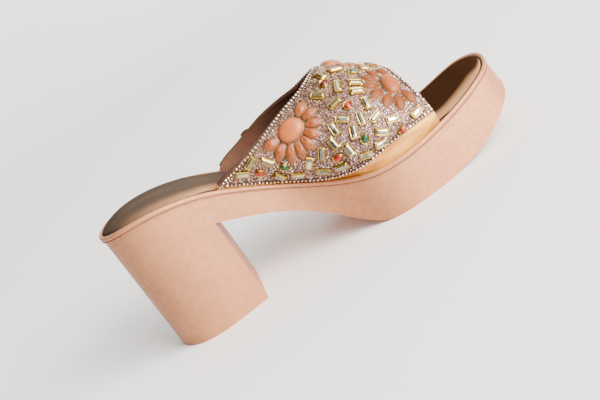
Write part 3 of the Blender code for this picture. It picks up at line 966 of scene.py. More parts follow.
def coral_finish(name, factor, gloss=0.3):
    """Pearly coral resin: warm clouds under a soft polish."""
    finish = Finish(name)
    colour = shade(colours().coral, factor)
    cloud = finish.noise(190.0, 3.0, 0.6)
    swirl = finish.noise(90.0, 2.0, 0.5, stretch=(1.0, 2.2, 1.0))
    base = finish.tint(cloud.between(0.3, 0.72), colour, 0.86, 1.12)
    base = finish.mix(swirl.between(0.58, 0.8) * 0.3, base, shade(colour, 0.55))
    return finish.surface({
        "Base Color": base,
        "Roughness": 0.32 + cloud * 0.12,
        "Subsurface Weight": 0.06,
        "Subsurface Radius": (0.003, 0.0015, 0.001),
        "Subsurface Scale": 0.5,
        "Specular IOR Level": gloss,
        "Coat Weight": gloss / 3,
        "Coat Roughness": 0.12,
        "Normal": finish.bump(cloud, 0.06, 0.4),
    })


# Sole

def wall_inset(points, normals, z):
    """Inset of the side wall below the band: lip and lean at the heel, flare forward."""
    x = points[:, 0]
    drop = RIM_Z(x) - BAND_HEIGHT - z
    heel = 1.0 - ease(x, *HEEL_EASE)
    forefoot = ease(x, *FOREFOOT_EASE)
    ends = np.abs(normals[:, 0]) ** 1.5
    step = BAND_STEP + (HEEL_LIP - BAND_STEP) * heel
    slope = HEEL_LEAN * heel * ends - forefoot * (WALL_FLARE + (TOE_FLARE - WALL_FLARE) * ends)
    return step + slope * drop


def waist_z(x):
    """Lowest height of the wall's upper part: arch, floor and toe spring."""
    arch = np.where(x < ARCH[0].station, ARCH[0].z, np.maximum(ARCH_Z(x), 0.0))
    return np.where(x > TOE_SPRING[0].station, np.maximum(SPRING_Z(x), 0.0), arch)


def rim_profile():
    """Insets and rises of the rim bead, from the tray over the crest to the seam groove."""
    rows = [Ring(RIM_WIDTH, -TRAY_DEPTH), Ring(RIM_WIDTH, -2.2), Ring(RIM_WIDTH, -RIM_CREST)]
    for k in range(1, CREST_STEPS):
        angle = pi * k / CREST_STEPS
        rows.append(Ring(RIM_WIDTH / 2 * (1.0 + cos(angle)),
                         -RIM_CREST + RIM_CREST * sin(angle)))
    return rows + [Ring(0.0, -1.2), Ring(0.0, -2.3), *SEAM, Ring(0.1, -3.0), Ring(0.05, -3.15),
                   Ring(BAND_STEP * 0.6, 0.02 - BAND_HEIGHT)]


def rim_ring(points, normals, inset, rise):
    """Outline moved inward, at a rise over the rim's line."""
    moved = points + normals * inset
    return np.column_stack((moved, RIM_Z(moved[:, 0]) + rise))


def wall_ring(points, normals, z):
    """Outline of the side wall at the heights given."""
    moved = points + normals * wall_inset(points, normals, z)[:, None]
    return np.column_stack((moved, z))


def stations_along():
    """Shared stations, close at both ends, with one at the breast."""
    share = np.arange(STATIONS) / (STATIONS - 1)
    eased = (1.0 - np.cos(pi * share)) / 2.0
    x = LENGTH * (0.6 * eased + 0.4 * (share - np.sin(2.0 * pi * share) / (2.0 * pi)))
    x[np.abs(x - BREAST).argmin()] = BREAST
    return x


class SANDAL_OT_sole(bpy.types.Operator):
    """Cover of the platform, waist and block heel, with its rim and seam"""
    bl_idname = "sandal.sole"
    bl_label = "Sole cover"

    def execute(self, context):
        x = stations_along()
        points, normals = loop_at(x)
        size = len(points)
        half = size // 2
        rings = [rim_ring(points, normals, *row) for row in rim_profile()]
        top = RIM_Z(points[:, 0]) - BAND_HEIGHT
        bottom = waist_z(points[:, 0])
        rings += [wall_ring(points, normals, top + (bottom - top) * k / WALL_ROWS)
                  for k in range(WALL_ROWS + 1)]
        shape = Shape()
        shape.add(np.vstack(rings), grid_faces(len(rings), size, closed=True))
        last = shape.count - size
        breast = int(np.abs(x - BREAST).argmin())
        around_heel = [*range(size - breast, size), *range(breast + 1)]
        width = len(around_heel)
        start = shape.extend(np.vstack(
            [wall_ring(points, normals, bottom * (1.0 - k / HEEL_ROWS))[around_heel]
             for k in range(1, HEEL_ROWS + 1)]))
        rows = [[last + i for i in around_heel]]
        rows += [range(start + k * width, start + (k + 1) * width) for k in range(HEEL_ROWS)]
        steps = list(zip(rows, rows[1:]))
        shape.faces += [(high[c], high[c + 1], low[c + 1], low[c])
                        for high, low in steps for c in range(width - 1)]
        shape.faces += [(high[-1], low[-1], low[0], high[0]) for high, low in steps]
        shape.faces += strips_between(rows[-1])
        shape.faces += strips_between([last + i for i in range(size - breast, breast - 1, -1)])
        shape.faces += strips_between([*range(half, size), *range(half)])
        seam = [k for k, row in enumerate(rim_profile()) if row in SEAM]
        shape.finishes = [int(k // size in seam) for k in range(len(shape.faces))]
        cover = grained("rose_gold_leathercloth", colours().cover, metallic=0.4,
                        roughness=0.45, grain=1250.0, depth=0.09, dark=0.5, gloss=0.3)
        shadow = grained("seam_shadow", (0.20, 0.08, 0.042), metallic=0.1, roughness=0.7,
                         grain=900.0, depth=0.05, dark=0.3, gloss=0.1)
        sole = shape.piece("sole_cover", [cover, shadow], "rose_gold_cover", ["sole"],
                           smooth=50.0)
        soften = sole.modifiers.new("soften", "BEVEL")
        soften.width = SOLE_ROUNDING * MM
        soften.segments = 3
        soften.limit_method = "ANGLE"
        soften.angle_limit = radians(55.0)
        return {"FINISHED"}


# Footbed

class SANDAL_OT_footbed(bpy.types.Operator):
    """Padded sock with a crease, a rolled edge and a soft crown"""
    bl_idname = "sandal.footbed"
    bl_label = "Footbed"

    def execute(self, context):
        points, normals = loop_at(stations_along())
        size = len(points)
        half = size // 2
        x = points[:, 0]
        under_vamp = ease(x, *VAMP_START_EASE) * (1.0 - ease(x, *VAMP_END_EASE))
        edge = TUCK + SOCK_PLAY + (FOOTBED_INSET - TUCK - SOCK_PLAY) * under_vamp[:, None]
        rings = [rim_ring(points, normals, edge + inset, rise) for inset, rise in SOCK_EDGE]
        shape = Shape()
        shape.add(np.vstack(rings), grid_faces(len(rings), size, closed=True))
        shape.faces += strips_between([*range(half, size), *range(half)])
        last = shape.count - size
        share = np.linspace(0.0, 1.0, SOCK_COLUMNS + 1)
        rows = np.arange(half + 1)
        from_inner = rings[-1][rows][:, None, :]
        from_outer = rings[-1][(size - rows) % size][:, None, :]
        grid = from_inner * (1.0 - share)[:, None] + from_outer * share[:, None]
        grid[:, :, 2] += (SOCK_CROWN * np.sin(pi * share) ** 1.2
                          * np.sin(np.linspace(0.0, pi, half + 1))[:, None] ** 0.5)
        start = shape.extend(grid[1:-1, 1:-1].reshape(-1, 3))

        def index(i, c):
            if c == 0 or i in (0, half):
                return last + i
            if c == SOCK_COLUMNS:
                return last + (size - i) % size
            return start + (i - 1) * (SOCK_COLUMNS - 1) + c - 1

        for i in range(half):
            for c in range(SOCK_COLUMNS):
                quad = (index(i, c), index(i, c + 1), index(i + 1, c + 1), index(i + 1, c))
                face = tuple(dict.fromkeys(quad))
                if len(face) > 2:
                    shape.faces.append(face)
        # The lowest rings, down into the tray, get a near-black finish: painted shade in the
        # crease between sock and rim
        shape.finishes = [int(k < CREASE_ROWS * size) for k in range(len(shape.faces))]
        crease = grained("sock_crease", (0.05, 0.025, 0.014), metallic=0.1, roughness=0.7,
                         grain=900.0, depth=0.05, dark=0.3, gloss=0.1)
        piece = shape.piece("footbed_sock", [sock_finish(), crease], "champagne_sock",
                            ["footbed"], smooth=60.0)
        return {"FINISHED"}


# Vamp

def folds_at(station, across):
    """Height of the listed folds in the plain satin, in millimetres."""
    total = np.zeros(np.shape(station))
    for fold in MARGIN_FOLDS:
        ahead = station - fold.station
        aside = (across - fold.across) * GIRTH
        angle = radians(fold.turn)
        long = ahead * cos(angle) + aside * sin(angle)
        wide = aside * cos(angle) - ahead * sin(angle)
        total += fold.height * np.exp(-(long / fold.length * 2) ** 2 - (wide / fold.width) ** 2)
    return total


def vamp_columns(share):
    """Places across the arch for one row: plain satin, the bead panel, plain satin."""
    edge = margin(share)
    side = [k * edge for k in PLAIN_SHARES]
    side += [PANEL_START * edge + (0.5 - PANEL_START * edge) * k / PANEL_COLUMNS
             for k in range(PANEL_COLUMNS)]
    return np.array(side + [0.5] + [1.0 - u for u in reversed(side)])


def vamp_foot(share, across, inset):
    """Points of the wall below the rim's line, from the tray up, at one end of a row."""
    station = float(station_at(share, across))
    y = float(side_at(station, inset, across > 0.5))
    return [(station, y, float(RIM_Z(station)) + rise) for rise in FOOT_RISES]


class SANDAL_OT_vamp(bpy.types.Operator):
    """Vamp wall: cloth under the beads, plain satin margin, edges and lining"""
    bl_idname = "sandal.vamp"
    bl_label = "Vamp"

    def execute(self, context):
        plain = len(PLAIN_SHARES)
        outer, inner = [], []
        for share in np.arange(VAMP_ROWS) / (VAMP_ROWS - 1):
            u = vamp_columns(share)
            s = station_at(share, u)
            point, _, _, normal = vamp_frame(s, u)
            lift = folds_at(s, u)
            lift[plain:-plain] = PANEL_STEP
            for wall, skin, inset in ((outer, point + normal * lift[:, None], TUCK),
                                      (inner, point - normal * WALL, TUCK + WALL)):
                wall.append(np.vstack((vamp_foot(share, 0.0, inset), skin,
                                       vamp_foot(share, 1.0, inset)[::-1])))
        width = len(outer[0])
        shape = Shape()
        shape.add(np.vstack(outer), grid_faces(VAMP_ROWS, width))
        low = len(FOOT_RISES) + plain
        shape.finishes = [int(not low <= k % (width - 1) < width - 1 - low)
                          for k in range(len(shape.faces))]
        shift = shape.count
        shape.add(np.vstack(inner), grid_faces(VAMP_ROWS, width), 2)
        border = [*range(width), *range(2 * width - 1, shift, width)]
        border += [*range(shift - 2, shift - width, -1), *range(shift - width, 0, -width)]
        rim = [(a, b, b + shift, a + shift) for a, b in zip(border, border[1:] + border[:1])]
        shape.faces += rim
        shape.finishes += [1] * len(rim)
        materials = [ground_finish(), satin_finish(), lining_finish()]
        shape.piece("vamp_wall", materials, "bead_ground", ["upper"], smooth=50.0)
        return {"FINISHED"}


class SANDAL_OT_binding(bpy.types.Operator):
    """Turned satin edge that wraps the rear topline"""
    bl_idname = "sandal.binding"
    bl_label = "Topline binding"

    def execute(self, context):
        edge = ON_PANEL * MARGIN_REAR + 0.004
        u = np.linspace(edge, 1.0 - edge, BINDING_POINTS)
        point, _, _, normal = vamp_frame(REAR(u), u)
        centre = point + normal * (PANEL_STEP - WALL) / 2
        along = unit(np.gradient(centre, axis=0))
        away = unit(np.cross(normal, along))
        radius = sizes().binding_radius / MM
        outward, inward, tall = 0.8, 0.5, 1.18
        rings = [centre + away * (0.2 + radius * cos(a) * (outward if cos(a) > 0 else inward))
                 + normal * (radius * tall * sin(a) - 0.1) for a in turns(BINDING_SIDES)]
        grid = np.stack(rings, axis=1).reshape(-1, 3)
        shape = Shape()
        shape.add(grid, grid_faces(len(u), BINDING_SIDES, closed=True))
        shape.faces += [tuple(range(BINDING_SIDES)),
                        tuple(range(len(grid) - BINDING_SIDES, len(grid)))]
        shape.finishes += [0, 0]
        finish = grained("binding_satin", (0.07, 0.032, 0.018), metallic=0.2, roughness=0.55,
                         grain=900.0, depth=0.06, dark=0.4, gloss=0.1)
        shape.piece("topline_binding", [finish], "gold_piping", ["piping"], smooth=60.0)
        return {"FINISHED"}


# Flowers

def domed(rings, height):
    """Cabochon through rings on a flat base, closed below and topped at a height."""
    around = len(rings[0])
    vertices = [(0.0, 0.0, 0.0), *(point for ring in rings for point in ring),
                (0.0, 0.0, height)]
    top = len(vertices) - 1
    low = top - around
    faces = [(0, 1 + (k + 1) % around, 1 + k) for k in range(around)]
    faces += grid_faces(len(rings), around, 1, closed=True)
    faces += [(low + k, low + (k + 1) % around, top) for k in range(around)]
    return np.array(vertices), faces


def oval_dome(length, width, height, around=36, levels=9, foot=0.25):
    """Oval cabochon, in millimetres."""
    rings = []
    for k in range(levels):
        tilt = pi / 2 * k / levels
        level = foot + (height - foot) * sin(tilt) if k else 0.0
        scale = cos(tilt) ** 0.8
        rings.append([(cos(a) * length / 2 * scale, sin(a) * width / 2 * scale, level)
                      for a in turns(around)])
    return domed(rings, height)


def petal_dome(length, width, height, around=24, levels=6, foot=0.2):
    """Pointed cabochon with a soft keel along its middle."""
    rings = []
    for k in range(levels):
        share = k / levels
        ring = []
        for a in turns(around):
            side = abs(sin(a)) ** 1.35 * (1.0 if sin(a) >= 0.0 else -1.0)
            x = cos(a) * length / 2 * (1.0 - 0.85 * share ** 1.3)
            y = side * width / 2 * (1.0 - share ** 1.7)
            keel = 1.0 - 0.35 * abs(cos(a)) ** 3
            level = foot + (height - foot) * share ** 0.62 * keel if k else 0.0
            ring.append((x, y, level))
        rings.append(ring)
    return domed(rings, height)


def petal_places(flower):
    """Centre distance and direction of each petal of a flower, in its own plane."""
    places = []
    for k in range(flower.petals):
        angle = radians(flower.first + flower.sweep * k / (flower.petals - 1))
        within = angle - radians(flower.turn)
        edge = OVAL_LENGTH * OVAL_WIDTH / 2 / (
            (OVAL_WIDTH * cos(within)) ** 2 + (OVAL_LENGTH * sin(within)) ** 2) ** 0.5
        places.append((edge + PETAL_LENGTH / 2 + 0.1, angle))
    return places


def laid_oval(flower, shape, seat):
    """Vertices of a flower's middle, bent onto the vamp."""
    return laid_on_vamp(shape, flower.station, flower.across, flower.turn, seat)


def laid_petal(flower, shape, distance, angle, seat):
    """Vertices of a petal, moved out from the middle and turned, bent onto the vamp."""
    shape = turned(shape + (distance, 0.0, 0.0), angle)
    return laid_on_vamp(shape, flower.station, flower.across, 0.0, seat)


class SANDAL_OT_flowers(bpy.types.Operator):
    """Coral flowers: an oval cabochon and its fan of pointed petals"""
    bl_idname = "sandal.flowers"
    bl_label = "Flowers"

    def execute(self, context):
        # Dark rim under each oval and petal: a dark sheet where the gaps between them lie in
        # shade, painted shade
        rim = metal_finish("setting_rim", 520.0, (0.05, 0.022, 0.01), (0.22, 0.11, 0.045),
                           metallic=0.8, roughness=0.35)
        pearly = [coral_finish("coral_oval", 1.0), coral_finish("coral_petal", 0.62), rim]
        # The front flowers take darker copies of the coral: painted shade
        shaded_coral = [coral_finish("dusky_oval", 0.74, gloss=0.2),
                 coral_finish("dusky_petal", 0.45, gloss=0.12), rim]
        for flower in FLOWERS:
            shape = Shape()
            front = "front" in flower.name
            slim = FRONT_OVAL_WIDTH if front else 1.0
            flat = CROWN_FLOWER_HEIGHT if "crown" in flower.name else 1.0
            for grow, height, finish in ((-0.5, OVAL_HEIGHT * flat, 0), (0.7, OVAL_SHADE_RIM_HEIGHT, 2)):
                dome, faces = oval_dome(OVAL_LENGTH + grow, OVAL_WIDTH * slim + grow, height)
                shape.add(laid_oval(flower, dome, FLOWER_SEAT), faces, finish)
            for place in petal_places(flower):
                for grow, height, finish in ((-0.4, PETAL_HEIGHT * flat, 1),
                                             (0.9, PETAL_SHADE_RIM_HEIGHT, 2)):
                    dome, faces = petal_dome(PETAL_LENGTH + grow, PETAL_WIDTH + grow, height)
                    shape.add(laid_petal(flower, dome, *place, FLOWER_SEAT), faces, finish)
            shape.piece("coral_" + flower.name, shaded_coral if front else pearly, "coral_resin",
                        [flower.name], smooth=60.0)
        return {"FINISHED"}


# Stones

def cut_corners(length, width, corner, z):
    """Rectangle with its corners cut, as eight points."""
    a, b = length / 2, width / 2
    return [(a, -b + corner, z), (a, b - corner, z), (a - corner, b, z), (corner - a, b, z),
            (-a, b - corner, z), (-a, corner - b, z), (corner - a, -b, z), (a - corner, -b, z)]


def pear(length, width, z, sides=14):
    """Drop outline: round at one end, nearly pointed at the other."""
    return [(length / 2 * cos(a), width / 2 * sin(a) * (1.0 - 0.28 * cos(a)), z)
            for a in turns(sides)]


def round_ring(radius, z, sides, twist=0.0):
    """Regular outline with a number of sides."""
    return [(radius * cos(a), radius * sin(a), z) for a in turns(sides, twist)]


def stacked(rings, low=True):
    """Closed solid through outlines of equal count, capped above, and below if asked."""
    size = len(rings[0])
    vertices = [point for ring in rings for point in ring]
    faces = grid_faces(len(rings), size, closed=True)
    faces.append(tuple(range((len(rings) - 1) * size, len(rings) * size)))
    if low:
        faces.append(tuple(range(size))[::-1])
    return vertices, faces


def claw(x, y, lean_x, lean_y, height):
    """Small prong that bends in over a stone."""
    rings = []
    for rise, lean, size in ((0.5, 0.0, 0.42), (height - 0.25, 0.0, 0.38),
                             (height + 0.1, 0.45, 0.34), (height + 0.12, 0.85, 0.18)):
        rings.append([(x + lean * lean_x + dx * size, y + lean * lean_y + dy * size, rise)
                      for dx, dy in ((1, -1), (1, 1), (-1, 1), (-1, -1))])
    return stacked(rings)


def baguette_parts(length, width):
    """Step-cut baguette in a pressed setting with claws at its ends."""
    def ring(less_long, less_wide, corner, z):
        return cut_corners(length - less_long, width - less_wide, corner, z)

    cup = [ring(0.0, 0.0, 0.6, 0.0), ring(0.0, 0.0, 0.6, 1.3), ring(0.4, 0.4, 0.5, 1.6),
           ring(1.0, 1.2, 0.4, 1.5), ring(1.1, 1.3, 0.4, 1.0)]
    girdle = [ring(1.1, 1.3, 0.35, 1.0), ring(1.0, 1.2, 0.35, 1.6), ring(1.9, 2.2, 0.25, 2.05)]
    table = [ring(1.9, 2.2, 0.25, 2.05), ring(2.6, 2.9, 0.15, 2.2)]
    parts = [(*stacked(cup), 0), (*stacked(girdle), 2), (*stacked(table), 1)]
    for x in (-1, 1):
        for y in (-1, 1):
            place = (x * (length / 2 - 0.85), y * (width / 2 - 0.2))
            parts.append((*claw(*place, -0.4 * x, -y, 1.6), 0))
    return parts


def drop_parts(length, width):
    """Faceted drop in a low setting with three claws."""
    cup = [pear(length, width, 0.0), pear(length, width, 1.1),
           pear(length - 0.4, width - 0.4, 1.4), pear(length - 1.4, width - 1.4, 1.1)]
    stone = [pear(length - 1.5, width - 1.5, 0.9), pear(length - 1.4, width - 1.4, 1.3),
             pear(length * 0.60, width * 0.56, 1.8), pear(length * 0.34, width * 0.3, 2.15)]
    parts = [(*stacked(cup), 0), (*stacked(stone), 1)]
    for x, y in ((length * 0.46, 0.0), (-length * 0.3, width * 0.46),
                 (-length * 0.3, -width * 0.46)):
        size = (x * x + y * y) ** 0.5
        parts.append((*claw(x, y, -x / size, -y / size, 1.3), 0))
    return parts


def chaton_parts(radius, finish, sides=8):
    """Round faceted stone in a wide dark cup."""
    cup = [round_ring(radius, 0.0, sides), round_ring(radius, radius * 0.55, sides),
           round_ring(radius * 0.62, radius * 0.6, sides)]
    stone = [round_ring(radius * 0.66, radius * 0.5, sides, 0.5),
             round_ring(radius * 0.64, radius * 0.8, sides, 0.5),
             round_ring(radius * 0.36, radius * 1.1, sides, 0.0)]
    return [(*stacked(cup), 0), (*stacked(stone, False), finish)]


def far_side_stones(near, seed):
    """Stones for the outer side: the inner ones mirrored and moved a little."""
    chance = random.Random(seed)
    made = []
    for stone in near:
        if stone.across < MIRRORED_UP_TO:
            moved = Stone(stone.station + chance.uniform(-2.5, 1.0) - 1.5,
                          1.0 - stone.across + chance.uniform(-0.006, 0.006),
                          -stone.turn + chance.uniform(-25.0, 25.0))
            if inside_panel(moved, EDGE_TO_STONE) and not on_flower(moved, FLOWER_TO_STONE):
                made.append(moved)
    return made


def inside_panel(stone, clearance):
    """Whether a stone keeps clear of the panel's edges by a distance."""
    start, end = float(REAR(stone.across)), float(FRONT(stone.across))
    share = (stone.station - start) / max(end - start, 1.0)
    if not 0.02 < share < 0.98:
        return False
    edge = float(margin(share))
    low, here, high = (vamp(stone.station, u) for u in (edge, stone.across, 1.0 - edge))
    ahead = vamp(end, stone.across)
    behind = vamp(start, stone.across)
    return min(np.linalg.norm(here - other)
               for other in (low, high, ahead, behind)) > clearance


def on_flower(stone, clearance):
    """Whether a stone comes nearer to a flower's outline than a distance."""
    here = vamp(stone.station, stone.across)
    return min(np.linalg.norm(flower_fill() - here, axis=1)) < clearance


@cache
def flower_fill():
    """Points spread over the ground that the flowers cover."""
    x, y = (row.ravel() for row in np.meshgrid(np.arange(-9.0, 9.1, FILL_STEP),
                                               np.arange(-7.0, 7.1, FILL_STEP)))
    flat = np.column_stack((x, y, 0.0 * x))
    oval = flat[(x * 2 / OVAL_LENGTH) ** 2 + (y * 2 / OVAL_WIDTH) ** 2 < 1]
    taper = 1.0 - (x * 2 / PETAL_LENGTH) ** 2
    leaf = flat[(abs(x) < PETAL_LENGTH / 2) & (abs(y) < PETAL_WIDTH / 2 * taper)]
    fill = []
    for flower in FLOWERS:
        fill.append(laid_oval(flower, oval, 0.0))
        fill += [laid_petal(flower, leaf, *place, 0.0) for place in petal_places(flower)]
    return np.vstack(fill)


def stone_groups():
    """Every loose stone by colour, near side and far side."""
    return {
        "crystal": BAGUETTES + tuple(far_side_stones(BAGUETTES, 11)),
        "red": RED_DROPS + tuple(far_side_stones(RED_DROPS, 12)),
        "garnet": GARNET_DROPS + tuple(far_side_stones(GARNET_DROPS, 13)),
        "green": GREEN_DROPS + tuple(far_side_stones(GREEN_DROPS, 14)),
        "smoke": SMOKE_DROPS,
    }


def strewn(name, parts, group, materials, tilt, seed):
    """One piece of hard stones that stand at the places of a group."""
    station, across, turn = (np.array(row) for row in zip(*group))
    shape = Shape()
    shape.scatter(parts, station, across, turn, seat=STONE_SEAT, tilt=tilt, seed=seed)
    shape.piece(name, materials, "bead_ground")


class SANDAL_OT_crystals(bpy.types.Operator):
    """Baguettes and drops in their settings, strewn between the flowers"""
    bl_idname = "sandal.crystals"
    bl_label = "Crystals"

    def execute(self, context):
        groups = stone_groups()
        tone = colours().gold
        gold = metal_finish("setting_gold", 650.0, shade(tone, 0.72), shade(tone, 1.15),
                            metallic=1.0, roughness=0.2)
        size = sizes()
        foil = crystal_finish("gold_foil", (0.52, 0.40, 0.10), metallic=0.9, dark=0.45, coat=0.8)
        clear = crystal_finish("clear_crystal", colours().crystal, metallic=1.0, dark=0.16,
                               coat=0.8, low=0.46, crown_shade=0.8)
        parts = baguette_parts(size.baguette_length / MM, size.baguette_width / MM)
        strewn("baguettes", parts, groups["crystal"], [gold, clear, foil], tilt=7.0, seed=3)
        parts = drop_parts(size.drop_length / MM, size.drop_length / MM * DROP_WIDTH)
        for name, colour in (("red", (0.36, 0.012, 0.003)), ("garnet", (0.09, 0.004, 0.006)),
                             ("green", (0.004, 0.075, 0.016)), ("smoke", (0.02, 0.015, 0.012))):
            glass = crystal_finish(name + "_glass", colour, metallic=0.25, dark=0.5, coat=0.25)
            strewn("drops_" + name, parts, groups[name], [gold, glass], tilt=5.0, seed=4)
        return {"FINISHED"}


def chain_row(chain, station, across, side=1.0):
    """A chain along a run of the vamp: its places, the stone's radius and its finish."""
    pitch = sizes().chain_pitch / MM
    return (*strung(station, across, chain.aside * side, pitch * chain.pitch),
            pitch * chain.radius, chain.finish)


def edge_rows():
    """The chains along the rear edge, the front edge and the plain margins."""
    edge = ON_PANEL * MARGIN_REAR
    u = np.linspace(edge + 0.01, 1.0 - edge - 0.01, 300)
    rows = [chain_row(chain, REAR(u), u) for chain in REAR_CHAINS]
    edge = ON_PANEL * MARGIN_FRONT
    u = np.linspace(edge + 0.005, 1.0 - edge - 0.005, 200)
    rows.append(chain_row(FRONT_CHAIN, FRONT(u), u))
    share = np.linspace(0.03, 0.975, 200)
    front = share > 0.5
    inner = ON_PANEL * margin(share)
    for u, side in ((inner, 1.0), (1.0 - inner, -1.0)):
        s = station_at(share, u)
        rows += [chain_row(MARGIN_CHAIN, s, u, side),
                 chain_row(INSIDE_CHAIN, s[front], u[front], side)]
    return rows


class SANDAL_OT_rhinestones(bpy.types.Operator):
    """Chains of round stones along the edges of the panel"""
    bl_idname = "sandal.rhinestones"
    bl_label = "Rhinestone rows"

    def execute(self, context):
        shape = Shape()
        for s, u, radius, finish in edge_rows():
            shape.scatter(chaton_parts(radius, finish), s, u, seat=CHAIN_SEAT, tilt=14.0,
                          seed=len(s))
        cup = bead_finish("chain_cup", (0.04, 0.02, 0.013), (0.10, 0.05, 0.03),
                          (0.20, 0.11, 0.065))
        glass = crystal_finish("chain_crystal", (0.85, 0.69, 0.58), metallic=1.0, dark=0.75,
                               coat=0.3)
        bronze = crystal_finish("chain_bronze", (0.46, 0.30, 0.22), metallic=1.0, dark=0.6,
                                coat=0.2)
        shape.piece("rhinestone_rows", [cup, glass, bronze], "bead_ground")
        return {"FINISHED"}


def taken_places():
    """Points that no seed bead may come near, with the distance to keep from each."""
    taken = [(flower_fill(), FLOWER_CLEARANCE)]
    for name, group in stone_groups().items():
        half = (BAGUETTE_RUN if name == "crystal" else DROP_RUN) / 2 - STONE_END
        for stone in group:
            angle = radians(stone.turn)
            point, forward, over, _ = frame_at(stone.station, stone.across)
            line = forward * cos(angle) + over * sin(angle)
            taken.append((point + np.linspace(-half, half, 5)[:, None] * line, STONE_CLEARANCE))
    for s, u, radius, _ in edge_rows():
        taken.append((vamp(s, u), radius + CHAIN_CLEARANCE))
    return taken


def clear_of_taken(points):
    """Which points keep their distance from flowers, stones and chains."""
    free = np.ones(len(points), dtype=bool)
    for centres, distance in taken_places():
        tree = KDTree(len(centres))
        for k, centre in enumerate(centres):
            tree.insert(centre, k)
        tree.balance()
        low, high = centres.min(axis=0) - distance, centres.max(axis=0) + distance
        near = free & (points > low).all(axis=1) & (points < high).all(axis=1)
        for k in np.flatnonzero(near):
            free[k] = tree.find(points[k])[2] >= distance
    return free


def kept_apart(points, numbers, pitch):
    """The numbered points that are left when each stays a pitch away from those before it."""
    kept, cells = [], {}
    for k in numbers:
        x, y, z = points[k]
        i, j, m = int(x // pitch), int(y // pitch), int(z // pitch)
        around = (cells.get((i + a, j + b, m + c), ())
                  for a in (-1, 0, 1) for b in (-1, 0, 1) for c in (-1, 0, 1))
        if all((x - p[0]) ** 2 + (y - p[1]) ** 2 + (z - p[2]) ** 2 > pitch ** 2
               for spot in around for p in spot):
            cells.setdefault((i, j, m), []).append((x, y, z))
            kept.append(k)
    return kept


def bead_places():
    """Stations and places across of the seed beads, thrown at random and kept apart."""
    chance = np.random.default_rng(5)
    share = chance.random(BEAD_THROWS)
    u = chance.random(BEAD_THROWS)
    s = station_at(share, u)
    edge = margin(share) * BEADS_ON_PANEL
    keep = (u > edge) & (u < 1.0 - edge)
    s, u = s[keep], u[keep]
    points = vamp(s, u)
    kept = kept_apart(points, np.flatnonzero(clear_of_taken(points)), sizes().bead_pitch / MM)
    return s[kept], u[kept]


class SANDAL_OT_beads(bpy.types.Operator):
    """Seed beads that fill the panel between flowers, stones and chains"""
    bl_idname = "sandal.beads"
    bl_label = "Seed beads"

    def execute(self, context):
        s, u = bead_places()
        radius = sizes().bead / MM / 2
        rings = [round_ring(radius * wide, radius * tall, BEAD_SIDES)
                 for wide, tall in ((1.0, 0.0), (0.95, 0.55), (0.45, 1.05))]
        bead = (*stacked(rings, False), 0)
        chance = np.random.default_rng(8)
        turn = chance.uniform(0.0, 360.0, len(s))
        scale = chance.uniform(0.85, 1.1, len(s))
        tone = chance.random(len(s))
        rose = bead_finish("rose_beads", (0.18, 0.085, 0.06), (0.36, 0.19, 0.14),
                           (0.68, 0.46, 0.39), crown_shade=0.9)
        grey = bead_finish("silver_beads", (0.20, 0.125, 0.11), (0.54, 0.43, 0.41),
                           (0.90, 0.82, 0.82), crown_shade=0.9)
        for name, finish, which in (("beads_rose", rose, tone < ROSE_SHARE),
                                    ("beads_silver", grey, tone >= ROSE_SHARE)):
            shape = Shape()
            shape.scatter([bead], s[which], u[which], turn[which], STONE_SEAT, scale[which])
            shape.piece(name, [finish], "bead_ground", smooth=40.0)
        return {"FINISHED"}


# Stage

def lamp(name, kind, strength, colour):
    """New light and the object that holds it."""
    light = bpy.data.lights.new(name, kind)
    light.energy = strength
    light.color = colour
    return light, linked(name, light)


def soft_light(name, place, aim, size, watts, colour):
    """Round soft light at a place, turned to its aim."""
    light, made = lamp(name, "AREA", watts, colour)
    light.shape = "DISK"
    light.size = size
    made.location = place
    made.rotation_euler = (Vector(aim) - Vector(place)).to_track_quat("-Z", "Y").to_euler()


def even_light(name, source, spread, strength, colour):
    """Light that is equally strong everywhere, from a wide soft disc in a direction."""
    light, made = lamp(name, "SUN", strength, colour)
    light.angle = radians(spread)
    made.rotation_euler = Vector(source).to_track_quat("Z", "Y").to_euler()


def soft_room(scene):
    """Room light: bright towards the toe and the near side, dim behind the heel."""
    world = bpy.data.worlds.new("soft_room")
    world.use_nodes = True
    tree = world.node_tree
    place = tree.nodes.new("ShaderNodeTexCoord")
    side = tree.nodes.new("ShaderNodeVectorMath")
    side.operation = "DOT_PRODUCT"
    side.inputs[1].default_value = (0.50, -0.86, 0.10)
    ramp = tree.nodes.new("ShaderNodeValToRGB")
    ramp.color_ramp.interpolation = "EASE"
    stops = ((0.45, (0.05, 0.047, 0.045)), (0.98, WHITE))
    for element, (position, colour) in zip(ramp.color_ramp.elements, stops):
        element.position = position
        element.color = (*colour, 1.0)
    shift = tree.nodes.new("ShaderNodeMath")
    shift.operation = "MULTIPLY_ADD"
    shift.inputs[1].default_value = 0.5
    shift.inputs[2].default_value = 0.5
    tree.links.new(place.outputs["Generated"], side.inputs[0])
    tree.links.new(side.outputs["Value"], shift.inputs[0])
    tree.links.new(shift.outputs[0], ramp.inputs["Fac"])
    tree.links.new(ramp.outputs["Color"], tree.nodes["Background"].inputs["Color"])
    tree.nodes["Background"].inputs["Strength"].default_value = 1.25
    scene.world = world


